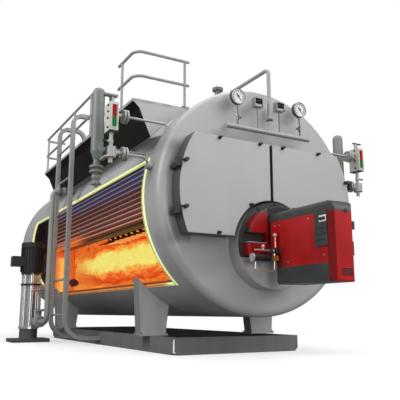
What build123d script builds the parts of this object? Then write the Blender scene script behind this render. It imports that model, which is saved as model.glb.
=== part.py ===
from build123d import *
from math import cos, degrees, radians, sin, sqrt
import os

os.makedirs("parts", exist_ok=True)

# Driving sizes, in millimetres and degrees.
# +X is the boiler's right side seen from the burner, +Y runs to the rear, +Z is up.
# The origin is the middle of the front skid beam's underside, on the ground.
seat_gap = 0.3
cut_overrun = 50

# Boiler body
casing_radius = 1400
casing_length = 7000
casing_thickness = 6
insulation_thickness = 28
shell_thickness = 18
rim_radius = 100
end_plate_thickness = 12
front_band_length = 300

# Skid of channel beams
beam_height = 200
beam_flange = 75
beam_web = 10
flange_thickness = 12
skid_half_width = 902
skid_length = 5390
skid_setback = 557
beam_end_chamfer = 45

# Tapered saddle legs
shell_above_skid = 236
leg_depth = 175
leg_front_inset = 731
leg_rear_inset = 564
leg_inner_foot = 672
leg_outer_foot = 1022
leg_inner_head = 570
leg_outer_head = 1075
leg_head_drop = 800
foot_plate_thickness = 20
foot_plate_border = 25

# Window cut in the left side to show the inside
window_setback = 460
window_rear_margin = 980
window_top_angle = 161.5
window_bottom_angle = 227.5
insulation_step = 26
shell_step = 20

# Furnace, reversal chamber and tube plates
furnace_shell_gap = 70
furnace_wall = 18
furnace_crown_space = 658
corrugation_depth = 70
corrugation_pitch = 266
furnace_cut_offset = 210
furnace_front_stub = 360
furnace_least_rear_stub = 500
chamber_crown_space = 568
chamber_wall = 20
chamber_length = 950
chamber_shell_gap = 68
chamber_stay_length = 134
chamber_stay_radius = 60
chamber_cut_offset = 420
front_plate_to_tube_plate = 230
tube_plate_thickness = 25
rear_smoke_space = 500

# Fire tubes
tube_diameter = 60
tube_row_pitch = 77
side_tube_row_count = 10
side_tube_column_count = 2
side_tube_column_pitch = 84
outer_tube_gap = 478
lowest_tube_drop = 56
middle_tube_row_count = 4
middle_tube_column_count = 7
middle_tube_column_pitch = 180
middle_tube_clearance = 96

# Smoke box doors
door_rim_margin = 68
door_depth = 182
door_wall = 14
door_top_rise = 644
door_bottom_drop = 500
door_split_gap = 34
door_burner_radius = 536
door_lining_recess = 40
door_seat_gap = 1
door_opening_overlap = 60
door_edge_round = 12
hinge_offset_past_door = 23
hinge_pin_radius = 16
hinge_knuckle_radius = 30
hinge_knuckle_length = 52
hinge_rises = (272, -248)
hinge_strap_height = 20
hinge_strap_reach = 65
hinge_strap_thickness = 22
clamp_bolt_radius = 14
clamp_bolt_length = 58
clamp_nut_radius = 23
clamp_nut_thickness = 16
clamp_edge_inset = 22
clamp_near_offset = 168
clamp_far_offset = 725
clamp_low_offset = 746
clamp_burner_angle = 124

# Burner
throat_outer_radius = 500
throat_wall = 40
throat_cover_thickness = 26
burner_flange_radius = 507
burner_flange_thickness = 20
burner_flange_foot_drop = 150
head_radius = 455
head_length = 100
head_foot_drop = 132
head_slot_rise = 123
head_slot_height = 119
head_slot_inner_offset = 200
head_round = 18
burner_half_width = 160
burner_length = 1015
burner_top_rise = 355
burner_foot_drop = 458
burner_corner = 40
burner_shoulder = 70
burner_nose = 108
burner_cover_height = 117
burner_tray_height = 181
burner_step_drop = 52
burner_step_length = 120
burner_cap_length = 56
burner_cap_chamfer = 50
burner_joint = 4
control_panel_length = 178
control_panel_height = 346
control_panel_thickness = 12
side_handle_length = 80
side_handle_height = 140
side_handle_top_drop = 52

# Fuel valves on the burner's left side
fuel_line_setback = 150
fuel_valve_width = 110
fuel_valve_depth = 90
fuel_valve_height = 59
fuel_valve_drop = 63
fuel_neck_radius = 18
fuel_neck_length = 25
brass_block_width = 72
brass_block_depth = 70
brass_block_height = 55
coil_radius = 38
coil_length = 213
coil_disc_radius = 45
coil_disc_thickness = 15
fuel_pipe_radius = 10
fuel_pipe_bend = 24
fuel_bar_length = 200
tall_gauge_rise = 143
short_gauge_rise = 42
tall_gauge_radius = 26
short_gauge_radius = 22
fuel_loop_drop = 140

# Gauge manifold on the front plate
manifold_rise = 798
manifold_reach = 168
manifold_radius = 30
manifold_left = 627
manifold_right = 602
dial_offset = 462
dial_radius = 98
dial_depth = 50
dial_rim = 9
dial_recess = 7
dial_rise = 374
stem_radius = 9
cock_nut_radius = 19
cock_nut_height = 12
cock_rise = 62
cock_body_height = 58
cock_knob_radius = 13
cock_knob_reach = 46
union_radius = 40
union_height = 34
union_rise = 150
switch_offsets = (-178, 147)
switch_width = 118
switch_height = 112
switch_depth = 84
switch_rise = 350
switch_window_border = 8
switch_window_foot = 30
switch_window_depth = 8
balance_pipe_radius = 24
balance_pipe_clearance = 225
balance_pipe_bend = 70
balance_pipe_run = 1150

# Water level chambers and gauges at both sides
chamber_column_clearance = 490
chamber_column_setback = 672
chamber_column_radius = 74
chamber_column_top = 1301
chamber_column_bottom = 501
chamber_cone_height = 97
chamber_neck_radius = 38
chamber_branch_rise = 545
chamber_branch_radius = 26
chamber_flange_drops = (171, 229)
chamber_valve_drop = 304
chamber_valve_radius = 54
chamber_drain_drop = 369
chamber_drain_flange_radius = 62
chamber_drain_length = 50
chamber_drain_radius = 24
level_flange_radius = 80
level_flange_thickness = 22
level_flange_gap = 13
gauge_box_clearance = 462
gauge_box_width = 98
gauge_box_depth = 182
gauge_box_height = 336
gauge_box_rise = 633
gauge_box_setback = 190
gauge_flange_reach = 128
gauge_neck_radius = 28
gauge_pipe_radius = 15
gauge_pipe_bend = 45
lower_pipe_bend = 15
upper_pipe_rise = 843
lower_pipe_rise = 403
upper_nozzle_inset = 229
upper_nozzle_radius = 34
lower_bend_clearance = 58
lower_nozzle_angle = 167.5
lower_nozzle_radius = 48
lower_nozzle_length = 60
gauge_head_height = 80
gauge_head_radius = 24
gauge_handle_length = 150
gauge_handle_width = 22
gauge_handle_thickness = 16
gauge_stem_radius = 22
gauge_lever_drop = 103
gauge_lever_length = 100
gauge_body_radius = 62
gauge_body_length = 120
gauge_drain_length = 60
gauge_drain_radius = 24

# Walkway on the upper left of the shell
deck_thickness = 40
deck_outer_inset = 76
deck_setback = 993
deck_length = 4600
skirt_thickness = 8
skirt_lip_inset = 167
skirt_lip_drop = 76
skirt_foot_inset = 350

# Guard rails
rail_radius = 21
post_radius = 18
rail_top_height = 690
rail_middle_height = 343
rail_bend = 130
post_inset = 32
post_base_size = 110
post_base_thickness = 12
front_rail_side_length = 600
front_rail_width = 806
side_rail_start = 1667
side_rail_length = 3030
side_rail_post_count = 4
side_rail_front_return = 380
side_rail_rear_return = 380

# Ladder
ladder_setback = 3192
ladder_width = 798
ladder_clearance = 70
stringer_width = 86
stringer_depth = 60
ladder_foot_height = 100
ladder_foot_bend = 300
ladder_top_height = 430
ladder_top_bend = 150
ladder_reach_over = 440
rung_radius = 17
rung_pitch = 546
first_rung_height = 254

# Feed pump, pipe and valve
pump_clearance = 290
pump_setback = 4590
pump_base_width = 620
pump_base_length = 520
pump_base_thickness = 60
pump_foot_height = 160
pump_foot_radius = 150
pump_stack_height = 948
pump_stack_radius = 90
pump_collar_radius = 172
pump_collar_thickness = 30
pump_ring_drop = 220
pump_outlet_radius = 182
tie_rod_radius = 14
tie_rod_circle = 152
tie_rod_count = 6
motor_radius = 196
motor_height = 520
motor_fin_count = 24
motor_fin_depth = 16
fan_cover_height = 90
terminal_box_width = 150
terminal_box_length = 210
terminal_box_height = 170
terminal_box_rise = 190
feed_pipe_radius = 42
feed_pipe_clearance = 210
feed_pipe_setback = 3724
feed_pipe_rise = 660
feed_pipe_bend = 120
feed_line_height = 340
feed_valve_place_share = 0.6
feed_valve_radius = 98
feed_flange_radius = 92
feed_flange_thickness = 24
feed_flange_reach = 135
bonnet_radius = 46
bonnet_height = 170
yoke_height = 290
yoke_width = 104
yoke_arm = 22
valve_stem_radius = 12
valve_stem_rise = 40
handwheel_radius = 92
handwheel_rim = 11
handwheel_spoke_count = 3
shell_valve_inset = 190
shell_valve_radius = 64

# Nozzles on top and at the rear
safety_valve_offset = 213
safety_valve_setback = 700
safety_valve_height = 244
safety_valve_radius = 40
safety_flange_radius = 72
flue_radius = 300
flue_length = 160
flue_wall = 8
flue_rise = 620
flue_flange_radius = 360

# Places that follow from the sizes above
front_y = -(skid_setback + beam_flange / 2)
rear_y = front_y + casing_length
axis_z = beam_height + shell_above_skid + casing_radius
skid_front_y = -beam_flange / 2
skid_rear_y = skid_front_y + skid_length
insulation_radius = casing_radius - casing_thickness
shell_radius = insulation_radius - insulation_thickness
shell_bore = shell_radius - shell_thickness
corrugation_crest_radius = shell_bore - furnace_crown_space
chamber_radius = shell_bore - chamber_crown_space
furnace_z = axis_z - shell_bore + corrugation_crest_radius + furnace_shell_gap
chamber_z = axis_z - shell_bore + chamber_radius + chamber_shell_gap
tube_plate_y = front_y + front_plate_to_tube_plate
tube_plate_back_y = tube_plate_y + tube_plate_thickness
rear_tube_plate_y = rear_y - rear_smoke_space
window_front_y = front_y + window_setback
window_rear_y = rear_y - window_rear_margin
door_radius = casing_radius - rim_radius - door_rim_margin


# Shared shapes

def front_plane(y):
    """A drawing plane across the boiler at y, with its own x to the right and its own y up."""
    return Plane((0, y, 0), x_dir=(1, 0, 0), z_dir=(0, -1, 0))


def along_y(sketch, start, end):
    """A front view sketch pulled from start to end along the boiler."""
    return extrude(front_plane(end) * sketch, end - start)


def rod(start, end, radius):
    """A round bar between two points."""
    middle = (Vector(*start) + Vector(*end)) / 2
    direction = Vector(*end) - Vector(*start)
    return Plane(middle, z_dir=direction) * Cylinder(radius, direction.length)


def block(low, high):
    """A box between its lowest and highest corner."""
    size = [top - bottom for bottom, top in zip(low, high)]
    middle = [(top + bottom) / 2 for bottom, top in zip(low, high)]
    return Pos(*middle) * Box(*size)


def bent_bar(points, bends, profile_at_start):
    """A bar that follows straight runs joined by tangent arcs."""
    path = FilletPolyline(*points, radius=bends)
    return sweep(profile_at_start, path=path)


def bent_pipe(points, bend, radius):
    """A round bar along points, with one bend radius."""
    direction = Vector(*points[1]) - Vector(*points[0])
    profile = Plane(points[0], z_dir=direction) * Circle(radius)
    return bent_bar(points, bend, profile)


def sector(outer, inner, start_angle, end_angle):
    """Part of a ring about the shell axis, in a front view sketch."""
    sweep_angle = end_angle - start_angle
    outer_arc = CenterArc((0, axis_z), outer, start_angle, sweep_angle)
    inner_arc = CenterArc((0, axis_z), inner, start_angle, sweep_angle)
    first_side = Line(outer_arc @ 0, inner_arc @ 0)
    last_side = Line(outer_arc @ 1, inner_arc @ 1)
    return make_face(outer_arc + first_side + inner_arc + last_side)


def shell_disc(radius, start, end):
    """A disc about the shell axis."""
    return along_y(Pos(0, axis_z) * Circle(radius), start, end)


def mirror_side(solid):
    """The same piece on the other side of the boiler."""
    return mirror(solid, about=Plane.YZ)


def save(node, *solids):
    """Writes one node as one STEP file."""
    whole = solids[0] if len(solids) == 1 else Compound(children=list(solids))
    whole.label = node
    export_step(whole, f"parts/{node}.step")


# Skid

def channel(length):
    """A channel beam along X, centred, its web on the -Y side and its foot on the ground."""
    outer = Pos(0, 0, beam_height / 2) * Box(length, beam_flange, beam_height)
    hollow_height = beam_height - 2 * flange_thickness
    hollow = Pos(0, beam_web, beam_height / 2) * Box(length, beam_flange, hollow_height)
    return outer - hollow


def side_beam():
    length = skid_length - 2 * beam_flange - 2 * seat_gap
    beam = Rot(0, 0, -90) * channel(length)
    x = -skid_half_width + beam_flange / 2
    y = (skid_front_y + skid_rear_y) / 2
    return Pos(x, y, 0) * beam


def cross_beam():
    beam = channel(2 * skid_half_width)
    ends = beam.edges().filter_by(Axis.Y).group_by(Axis.Z)[0]
    ends = [edge for edge in ends if abs(abs(edge.center().X) - skid_half_width) < beam_end_chamfer]
    return chamfer(ends, beam_end_chamfer)


left_beam = side_beam()
front_beam = cross_beam()
rear_beam = Pos(0, skid_length - beam_flange, 0) * Rot(0, 0, 180) * cross_beam()
save("skid_side_beams", left_beam, mirror_side(left_beam))
save("skid_cross_beams", front_beam, rear_beam)


# Legs

def leg(start):
    """A tapered saddle leg on its foot plate, cut to sit under the casing."""
    foot_z = beam_height + foot_plate_thickness
    head_z = axis_z - leg_head_drop
    outline = Polyline(
        (-leg_outer_foot, foot_z), (-leg_inner_foot, foot_z),
        (-leg_inner_head, head_z), (-leg_outer_head, head_z), close=True)
    body = along_y(make_face(outline), start, start + leg_depth)
    body -= shell_disc(casing_radius + seat_gap, start - cut_overrun, start + leg_depth + cut_overrun)
    plate = block(
        (-leg_outer_foot - foot_plate_border, start - foot_plate_border, beam_height),
        (-leg_inner_foot + foot_plate_border, start + leg_depth + foot_plate_border, foot_z))
    return body + plate


front_leg_y = skid_front_y + leg_front_inset
rear_leg_y = skid_rear_y - leg_rear_inset - leg_depth
for node, start in (("front_legs", front_leg_y), ("rear_legs", rear_leg_y)):
    left_leg = leg(start)
    save(node, left_leg, mirror_side(left_leg))


# Casing of bent sheets, with the window in the left one

casing_front_y = front_y + front_band_length
casing_rear_y = rear_y - front_band_length
sheet_angles = {
    "casing_top": (56, 142),
    "casing_left": (142, 247),
    "casing_bottom": (247, 325),
    "casing_right": (325, 416),
}


def window_cutter(step):
    """The window's opening, made smaller by step on every side."""
    step_angle = degrees(step / casing_radius)
    opening = sector(
        casing_radius + cut_overrun, shell_bore - cut_overrun,
        window_top_angle + step_angle, window_bottom_angle - step_angle)
    return along_y(opening, window_front_y + step, window_rear_y - step)


for node, (start_angle, end_angle) in sheet_angles.items():
    outline = sector(casing_radius, insulation_radius, start_angle, end_angle)
    sheet = along_y(outline, casing_front_y, casing_rear_y)
    if node == "casing_left":
        sheet -= window_cutter(0)
    save(node, sheet)

insulation = shell_disc(insulation_radius - seat_gap, casing_front_y, casing_rear_y)
insulation -= shell_disc(shell_radius, casing_front_y - cut_overrun, casing_rear_y + cut_overrun)
insulation -= window_cutter(insulation_step)
save("insulation", insulation)

pressure_shell = shell_disc(shell_radius - seat_gap, tube_plate_y, rear_tube_plate_y)
pressure_shell -= shell_disc(shell_bore, tube_plate_y - cut_overrun, rear_tube_plate_y + cut_overrun)
pressure_shell -= window_cutter(insulation_step + shell_step)
save("pressure_shell", pressure_shell)


# Pressed end plates with a rounded rim

def end_plate():
    """A flat end with a rounded rim and a short band, open towards +Y, its face at y = 0."""
    flat_radius = casing_radius - rim_radius
    inner_rim = rim_radius - end_plate_thickness
    root = 1 / sqrt(2)
    outer_mid = (flat_radius + rim_radius * root, rim_radius - rim_radius * root)
    inner_mid = (flat_radius + inner_rim * root, rim_radius - inner_rim * root)
    band_inner = casing_radius - end_plate_thickness
    outline = (
        Line((0, 0), (flat_radius, 0))
        + ThreePointArc((flat_radius, 0), outer_mid, (casing_radius, rim_radius))
        + Line((casing_radius, rim_radius), (casing_radius, front_band_length))
        + Line((casing_radius, front_band_length), (band_inner, front_band_length))
        + Line((band_inner, front_band_length), (band_inner, rim_radius))
        + ThreePointArc((band_inner, rim_radius), inner_mid, (flat_radius, end_plate_thickness))
        + Line((flat_radius, end_plate_thickness), (0, end_plate_thickness))
        + Line((0, end_plate_thickness), (0, 0)))
    return Pos(0, 0, axis_z) * revolve(make_face(outline), Axis.Y)


def door_outline(side, shrink):
    """One smoke box door seen from the front: side is -1 for the left and 1 for the right."""
    radius = door_radius - shrink
    low = axis_z - door_bottom_drop + shrink
    high = axis_z + door_top_rise - shrink
    inner = door_split_gap / 2 + shrink
    width = 2 * casing_radius
    half = Pos(side * (inner + width / 2), (low + high) / 2) * Rectangle(width, high - low)
    disc = Pos(0, axis_z) * Circle(radius)
    throat = Pos(0, furnace_z) * Circle(door_burner_radius + shrink)
    return half & disc - throat


door_opening = Pos(0, axis_z + (door_top_rise - door_bottom_drop) / 2) * Rectangle(
    2 * casing_radius, door_top_rise + door_bottom_drop - 2 * door_opening_overlap)
door_opening = door_opening & Pos(0, axis_z) * Circle(door_radius - door_opening_overlap)
throat_hole = Pos(0, furnace_z) * Circle(throat_outer_radius + seat_gap)
front_opening = door_opening + throat_hole
front_end = Pos(0, front_y, 0) * end_plate()
front_end -= along_y(front_opening, front_y - cut_overrun, front_y + end_plate_thickness + cut_overrun)
save("front_plate", front_end)

flue_z = axis_z + flue_rise
rear_end = Pos(0, rear_y, 0) * Rot(0, 0, 180) * end_plate()
flue_bore = along_y(
    Pos(0, flue_z) * Circle(flue_radius - flue_wall),
    rear_y - end_plate_thickness - cut_overrun, rear_y + cut_overrun)
save("rear_plate", rear_end - flue_bore)

flue = along_y(Pos(0, flue_z) * Circle(flue_radius), rear_y, rear_y + flue_length)
flue += along_y(
    Pos(0, flue_z) * Circle(flue_flange_radius), rear_y + flue_length - end_plate_thickness,
    rear_y + flue_length)
flue -= along_y(
    Pos(0, flue_z) * Circle(flue_radius - flue_wall), rear_y - cut_overrun,
    rear_y + flue_length + cut_overrun)
save("flue_collar", flue)


# Tube plates, furnace and reversal chamber

furnace_start_y = tube_plate_back_y
corrugation_start_y = furnace_start_y + furnace_front_stub
chamber_end_y = rear_tube_plate_y - tube_plate_thickness - chamber_stay_length
furnace_end_y = chamber_end_y - chamber_length
corrugated_length = furnace_end_y - furnace_least_rear_stub - corrugation_start_y
corrugation_count = int(corrugated_length / corrugation_pitch)
furnace_valley_radius = corrugation_crest_radius - corrugation_depth
furnace_bore = furnace_valley_radius - furnace_wall

front_tube_plate = shell_disc(shell_bore - seat_gap, tube_plate_y, tube_plate_back_y)
furnace_mouth = Pos(0, furnace_z) * Circle(furnace_bore)
front_tube_plate -= along_y(furnace_mouth, tube_plate_y - cut_overrun, tube_plate_back_y + cut_overrun)
save("front_tube_plate", front_tube_plate)

rear_tube_plate = shell_disc(
    shell_bore - seat_gap, rear_tube_plate_y - tube_plate_thickness, rear_tube_plate_y)
save("rear_tube_plate", rear_tube_plate)


def furnace_side(offset):
    """One side of the corrugated wall in half section, moved inwards by offset: arched waves
    that bulge outwards and meet in narrow valleys."""
    valley = furnace_valley_radius - offset
    crest = corrugation_crest_radius - offset
    side = Line((valley, furnace_start_y), (valley, corrugation_start_y))
    for wave in range(corrugation_count):
        start = corrugation_start_y + wave * corrugation_pitch
        end = start + corrugation_pitch
        side += ThreePointArc((valley, start), (crest, (start + end) / 2), (valley, end))
    return side + Line((valley, end), (valley, furnace_end_y))


def furnace_tube():
    """The corrugated flame tube, cut away on the window side."""
    outer = furnace_side(0)
    inner = furnace_side(furnace_wall)
    outer_x = furnace_valley_radius
    inner_x = furnace_valley_radius - furnace_wall
    front_end = Line((outer_x, furnace_start_y), (inner_x, furnace_start_y))
    rear_end = Line((outer_x, furnace_end_y), (inner_x, furnace_end_y))
    wall = make_face(outer + rear_end + inner + front_end)
    tube = Pos(0, 0, furnace_z) * revolve(wall, Axis.Y)
    cut = block(
        (-casing_radius, furnace_start_y - cut_overrun, 0),
        (-furnace_cut_offset, furnace_end_y + cut_overrun, axis_z + casing_radius))
    return tube - cut


save("furnace_tube", furnace_tube())


def reversal_chamber():
    """The drum where the hot gas turns back, open to the furnace and cut on the window side."""
    circle = Pos(0, chamber_z) * Circle(chamber_radius)
    drum = along_y(circle, furnace_end_y, chamber_end_y)
    inside = Pos(0, chamber_z) * Circle(chamber_radius - chamber_wall)
    drum -= along_y(inside, furnace_end_y + chamber_wall, chamber_end_y - chamber_wall)
    mouth = Pos(0, furnace_z) * Circle(furnace_bore)
    drum -= along_y(mouth, furnace_end_y - cut_overrun, furnace_end_y + chamber_wall + cut_overrun)
    cut = block(
        (-casing_radius, furnace_end_y - cut_overrun, 0),
        (-chamber_cut_offset, chamber_end_y + cut_overrun, axis_z + casing_radius))
    return drum - cut


save("reversal_chamber", reversal_chamber())

chamber_stay = rod(
    (0, chamber_end_y + seat_gap, chamber_z),
    (0, rear_tube_plate_y - tube_plate_thickness - seat_gap, chamber_z), chamber_stay_radius)
save("chamber_stay", chamber_stay)


# Fire tubes

def tube_bank(columns, rows, first_z):
    """Fire tubes in columns (x places) and rows, between the tube plates."""
    start = tube_plate_back_y + seat_gap
    end = rear_tube_plate_y - tube_plate_thickness - seat_gap
    tubes = []
    for row in range(rows):
        z = first_z + row * tube_row_pitch
        for x in columns:
            tubes.append(rod((x, start, z), (x, end, z), tube_diameter / 2))
    return tubes


lowest_tube_z = axis_z - lowest_tube_drop
outer_tube_x = -(shell_bore - outer_tube_gap - tube_diameter / 2)
left_columns = [
    outer_tube_x + column * side_tube_column_pitch for column in range(side_tube_column_count)]
right_columns = [-x for x in left_columns]
middle_start = -middle_tube_column_pitch * (middle_tube_column_count - 1) / 2
middle_columns = [
    middle_start + column * middle_tube_column_pitch for column in range(middle_tube_column_count)]
middle_first_z = chamber_z + chamber_radius + middle_tube_clearance + tube_diameter / 2
save("left_fire_tubes", *tube_bank(left_columns, side_tube_row_count, lowest_tube_z))
save("right_fire_tubes", *tube_bank(right_columns, side_tube_row_count, lowest_tube_z))
save("middle_fire_tubes", *tube_bank(middle_columns, middle_tube_row_count, middle_first_z))


# Smoke box doors with lining, hinges and clamps

door_back_y = front_y - door_seat_gap
door_face_y = door_back_y - door_depth
hinge_y = door_face_y
hinge_offset = door_radius + hinge_offset_past_door


def door_pan(side):
    pan = along_y(door_outline(side, 0), door_face_y, door_back_y)
    pan = fillet(pan.faces().sort_by(Axis.Y)[0].edges(), door_edge_round)
    return pan - along_y(door_outline(side, door_wall), door_face_y + door_wall, door_back_y + cut_overrun)


def door_lining(side):
    return along_y(
        door_outline(side, door_wall + seat_gap),
        door_face_y + door_wall + seat_gap, door_back_y - door_lining_recess)


def clamp_places(side):
    """Where the clamp bolts sit round a door's edge, as (x, z)."""
    top_z = axis_z + door_top_rise - clamp_edge_inset
    bottom_z = axis_z - door_bottom_drop + clamp_edge_inset
    burner_reach = door_burner_radius + clamp_edge_inset
    burner_x = -side * burner_reach * cos(radians(clamp_burner_angle))
    burner_z = furnace_z + burner_reach * sin(radians(clamp_burner_angle))
    return [
        (side * clamp_far_offset, top_z), (side * clamp_near_offset, top_z),
        (side * clamp_low_offset, bottom_z), (burner_x, burner_z)]


def door_clamp(x, z):
    """A clamp bolt that stands out of its nut on the door's face."""
    seat_y = door_face_y - seat_gap
    nut_plane = front_plane(seat_y) * Pos(x, z)
    nut = extrude(nut_plane * RegularPolygon(clamp_nut_radius, side_count=6), clamp_nut_thickness)
    bolt = rod((x, seat_y, z), (x, seat_y - clamp_bolt_length, z), clamp_bolt_radius)
    tip = bolt.edges().sort_by(Axis.Y)[0]
    return nut + chamfer(tip, clamp_bolt_radius / 4)


def hinge_arm(side, rise):
    """The door's half of a hinge: a strap on the door's face that ends in a knuckle on the pin."""
    z = axis_z + rise
    x = side * hinge_offset
    knuckle = rod((x, hinge_y, z), (x, hinge_y, z + hinge_knuckle_length), hinge_knuckle_radius)
    inner = side * (door_radius - hinge_strap_reach)
    low_x, high_x = sorted((inner, x))
    strap = block(
        (low_x, door_face_y - hinge_strap_thickness, z + (hinge_knuckle_length - hinge_strap_height) / 2),
        (high_x, door_face_y - seat_gap, z + (hinge_knuckle_length + hinge_strap_height) / 2))
    low_x, high_x = sorted((x - side * hinge_strap_thickness, x))
    elbow = block(
        (low_x, door_face_y - hinge_strap_thickness, z + (hinge_knuckle_length - hinge_strap_height) / 2),
        (high_x, hinge_y, z + (hinge_knuckle_length + hinge_strap_height) / 2))
    pin_hole = rod(
        (x, hinge_y, z - cut_overrun), (x, hinge_y, z + hinge_knuckle_length + cut_overrun),
        hinge_pin_radius + seat_gap)
    head = rod(
        (inner, door_face_y - seat_gap, z + hinge_knuckle_length / 2),
        (inner, door_face_y - clamp_bolt_length, z + hinge_knuckle_length / 2), clamp_nut_radius)
    return knuckle + strap + elbow + head - pin_hole


def hinge_bracket(side, rise):
    """The fixed half of a hinge: a knuckle and pin under the door's one, on a foot on the front plate."""
    z = axis_z + rise
    x = side * hinge_offset
    bottom = z - hinge_knuckle_length - seat_gap
    knuckle = rod((x, hinge_y, bottom), (x, hinge_y, z - seat_gap), hinge_knuckle_radius)
    pin = rod((x, hinge_y, bottom), (x, hinge_y, z + hinge_knuckle_length), hinge_pin_radius)
    low_x, high_x = sorted((x, x - side * hinge_knuckle_radius))
    foot = block((low_x, hinge_y, bottom), (high_x, front_y - seat_gap, z - seat_gap))
    return knuckle + pin + foot


for side, name in ((-1, "left"), (1, "right")):
    save(f"{name}_door", door_pan(side))
    save(f"{name}_door_lining", door_lining(side))
    fittings = [door_clamp(x, z) for x, z in clamp_places(side)]
    fittings += [hinge_arm(side, rise) for rise in hinge_rises]
    save(f"{name}_door_fittings", *fittings)
brackets = [hinge_bracket(side, rise) for side in (-1, 1) for rise in hinge_rises]
save("hinge_brackets", *brackets)


# Burner

throat_face_y = door_back_y - door_depth
throat_cover_y = throat_face_y - throat_cover_thickness
furnace_centre = Pos(0, furnace_z)
throat = along_y(furnace_centre * Circle(throat_outer_radius), throat_cover_y, tube_plate_y - seat_gap)
throat = chamfer(throat.edges().filter_by(GeomType.CIRCLE).sort_by(Axis.Y)[0], throat_cover_thickness / 4)
throat -= along_y(
    furnace_centre * Circle(throat_outer_radius - throat_wall), throat_face_y, tube_plate_y + cut_overrun)
save("burner_throat", throat)

flange_back_y = throat_cover_y - seat_gap
flange_face_y = flange_back_y - burner_flange_thickness


def cut_disc(radius, foot_drop):
    """A disc round the furnace axis with a flat foot, in a front view sketch."""
    foot = Pos(0, -foot_drop - radius) * Rectangle(2 * radius, 2 * radius)
    return furnace_centre * (Circle(radius) - foot)


burner_flange = along_y(cut_disc(burner_flange_radius, burner_flange_foot_drop), flange_face_y, flange_back_y)
save("burner_flange", burner_flange)


def burner_head():
    """The drum behind the burner, flat at its foot, with a slot in its left side."""
    back_y = flange_face_y - seat_gap
    face_y = flange_face_y - head_length
    head = along_y(cut_disc(head_radius, head_foot_drop), face_y, back_y)
    head = fillet(head.faces().sort_by(Axis.Y)[0].edges(), head_round)
    slot_top = furnace_z + head_slot_rise
    return head - block(
        (-head_radius - cut_overrun, face_y - cut_overrun, slot_top - head_slot_height),
        (-head_slot_inner_offset, back_y + cut_overrun, slot_top))


save("burner_head", burner_head())

burner_rear_y = flange_face_y - head_length - seat_gap
burner_front_y = burner_rear_y - burner_length
burner_top_z = furnace_z + burner_top_rise
burner_low_z = furnace_z - burner_foot_drop
tray_top_z = burner_low_z + burner_tray_height
cover_low_z = burner_top_z - burner_cover_height
cap_rear_y = burner_front_y + burner_cap_length
housing_front_y = cap_rear_y + burner_joint
step_y = burner_rear_y - burner_step_length


def burner_housing():
    """The fan housing between tray and cover, cut back at its lower rear for the fuel valves."""
    body = block(
        (-burner_half_width, housing_front_y, tray_top_z + seat_gap),
        (burner_half_width, burner_rear_y, cover_low_z - seat_gap))
    return body - block(
        (-burner_half_width - cut_overrun, step_y, tray_top_z - cut_overrun),
        (burner_half_width + cut_overrun, burner_rear_y + cut_overrun, furnace_z - burner_step_drop))


def burner_tray():
    """The tray under the housing, with a rounded rear foot."""
    tray = block((-burner_half_width, housing_front_y, burner_low_z), (burner_half_width, step_y, tray_top_z))
    return fillet(tray.edges().filter_by(Axis.X).group_by(Axis.Z)[0].sort_by(Axis.Y)[-1], burner_corner)


def burner_cover():
    """The top cover over housing and front cap, with wide shoulders and a nose that leans back."""
    length = burner_rear_y - burner_front_y
    middle = Pos(0, (burner_rear_y + burner_front_y) / 2, (cover_low_z + burner_top_z) / 2)
    plain = middle * Box(2 * burner_half_width, length, burner_cover_height)
    cover = fillet(plain.edges().filter_by(Axis.Y).group_by(Axis.Z)[-1], burner_shoulder)
    nose = fillet(plain.edges().filter_by(Axis.X).group_by(Axis.Z)[-1].sort_by(Axis.Y)[0], burner_nose)
    corners = chamfer(plain.edges().filter_by(Axis.Z).group_by(Axis.Y)[0], burner_cap_chamfer)
    return cover & nose & corners


def burner_cap():
    """The front cap with chamfered sides and rounded foot corners, on a spigot in the housing."""
    plain = block(
        (-burner_half_width, burner_front_y, burner_low_z),
        (burner_half_width, cap_rear_y, cover_low_z - seat_gap))
    sides = chamfer(plain.edges().filter_by(Axis.Z).group_by(Axis.Y)[0], burner_cap_chamfer)
    corners = fillet(plain.edges().filter_by(Axis.Y).group_by(Axis.Z)[0], burner_corner)
    foot = fillet(plain.edges().filter_by(Axis.X).group_by(Axis.Z)[0].sort_by(Axis.Y)[0], burner_corner / 2)
    return (sides & corners & foot) + block(
        (-burner_half_width + burner_corner, cap_rear_y, tray_top_z + burner_corner),
        (burner_half_width - burner_corner, housing_front_y - seat_gap, cover_low_z - burner_corner))


save("burner_housing", burner_housing())
save("burner_covers", burner_tray(), burner_cover())
save("burner_front_cap", burner_cap())

panel_low_x = -burner_half_width - control_panel_thickness
control_panel = block(
    (panel_low_x, housing_front_y, cover_low_z - control_panel_height),
    (-burner_half_width - seat_gap, housing_front_y + control_panel_length, cover_low_z))
control_panel = fillet(control_panel.edges().filter_by(Axis.X), control_panel_thickness)
handle_top_z = furnace_z - side_handle_top_drop
side_handle = block(
    (burner_half_width + seat_gap, housing_front_y, handle_top_z - side_handle_height),
    (burner_half_width + 2 * control_panel_thickness, housing_front_y + side_handle_length, handle_top_z))
save("control_panel", control_panel, side_handle)


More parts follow.
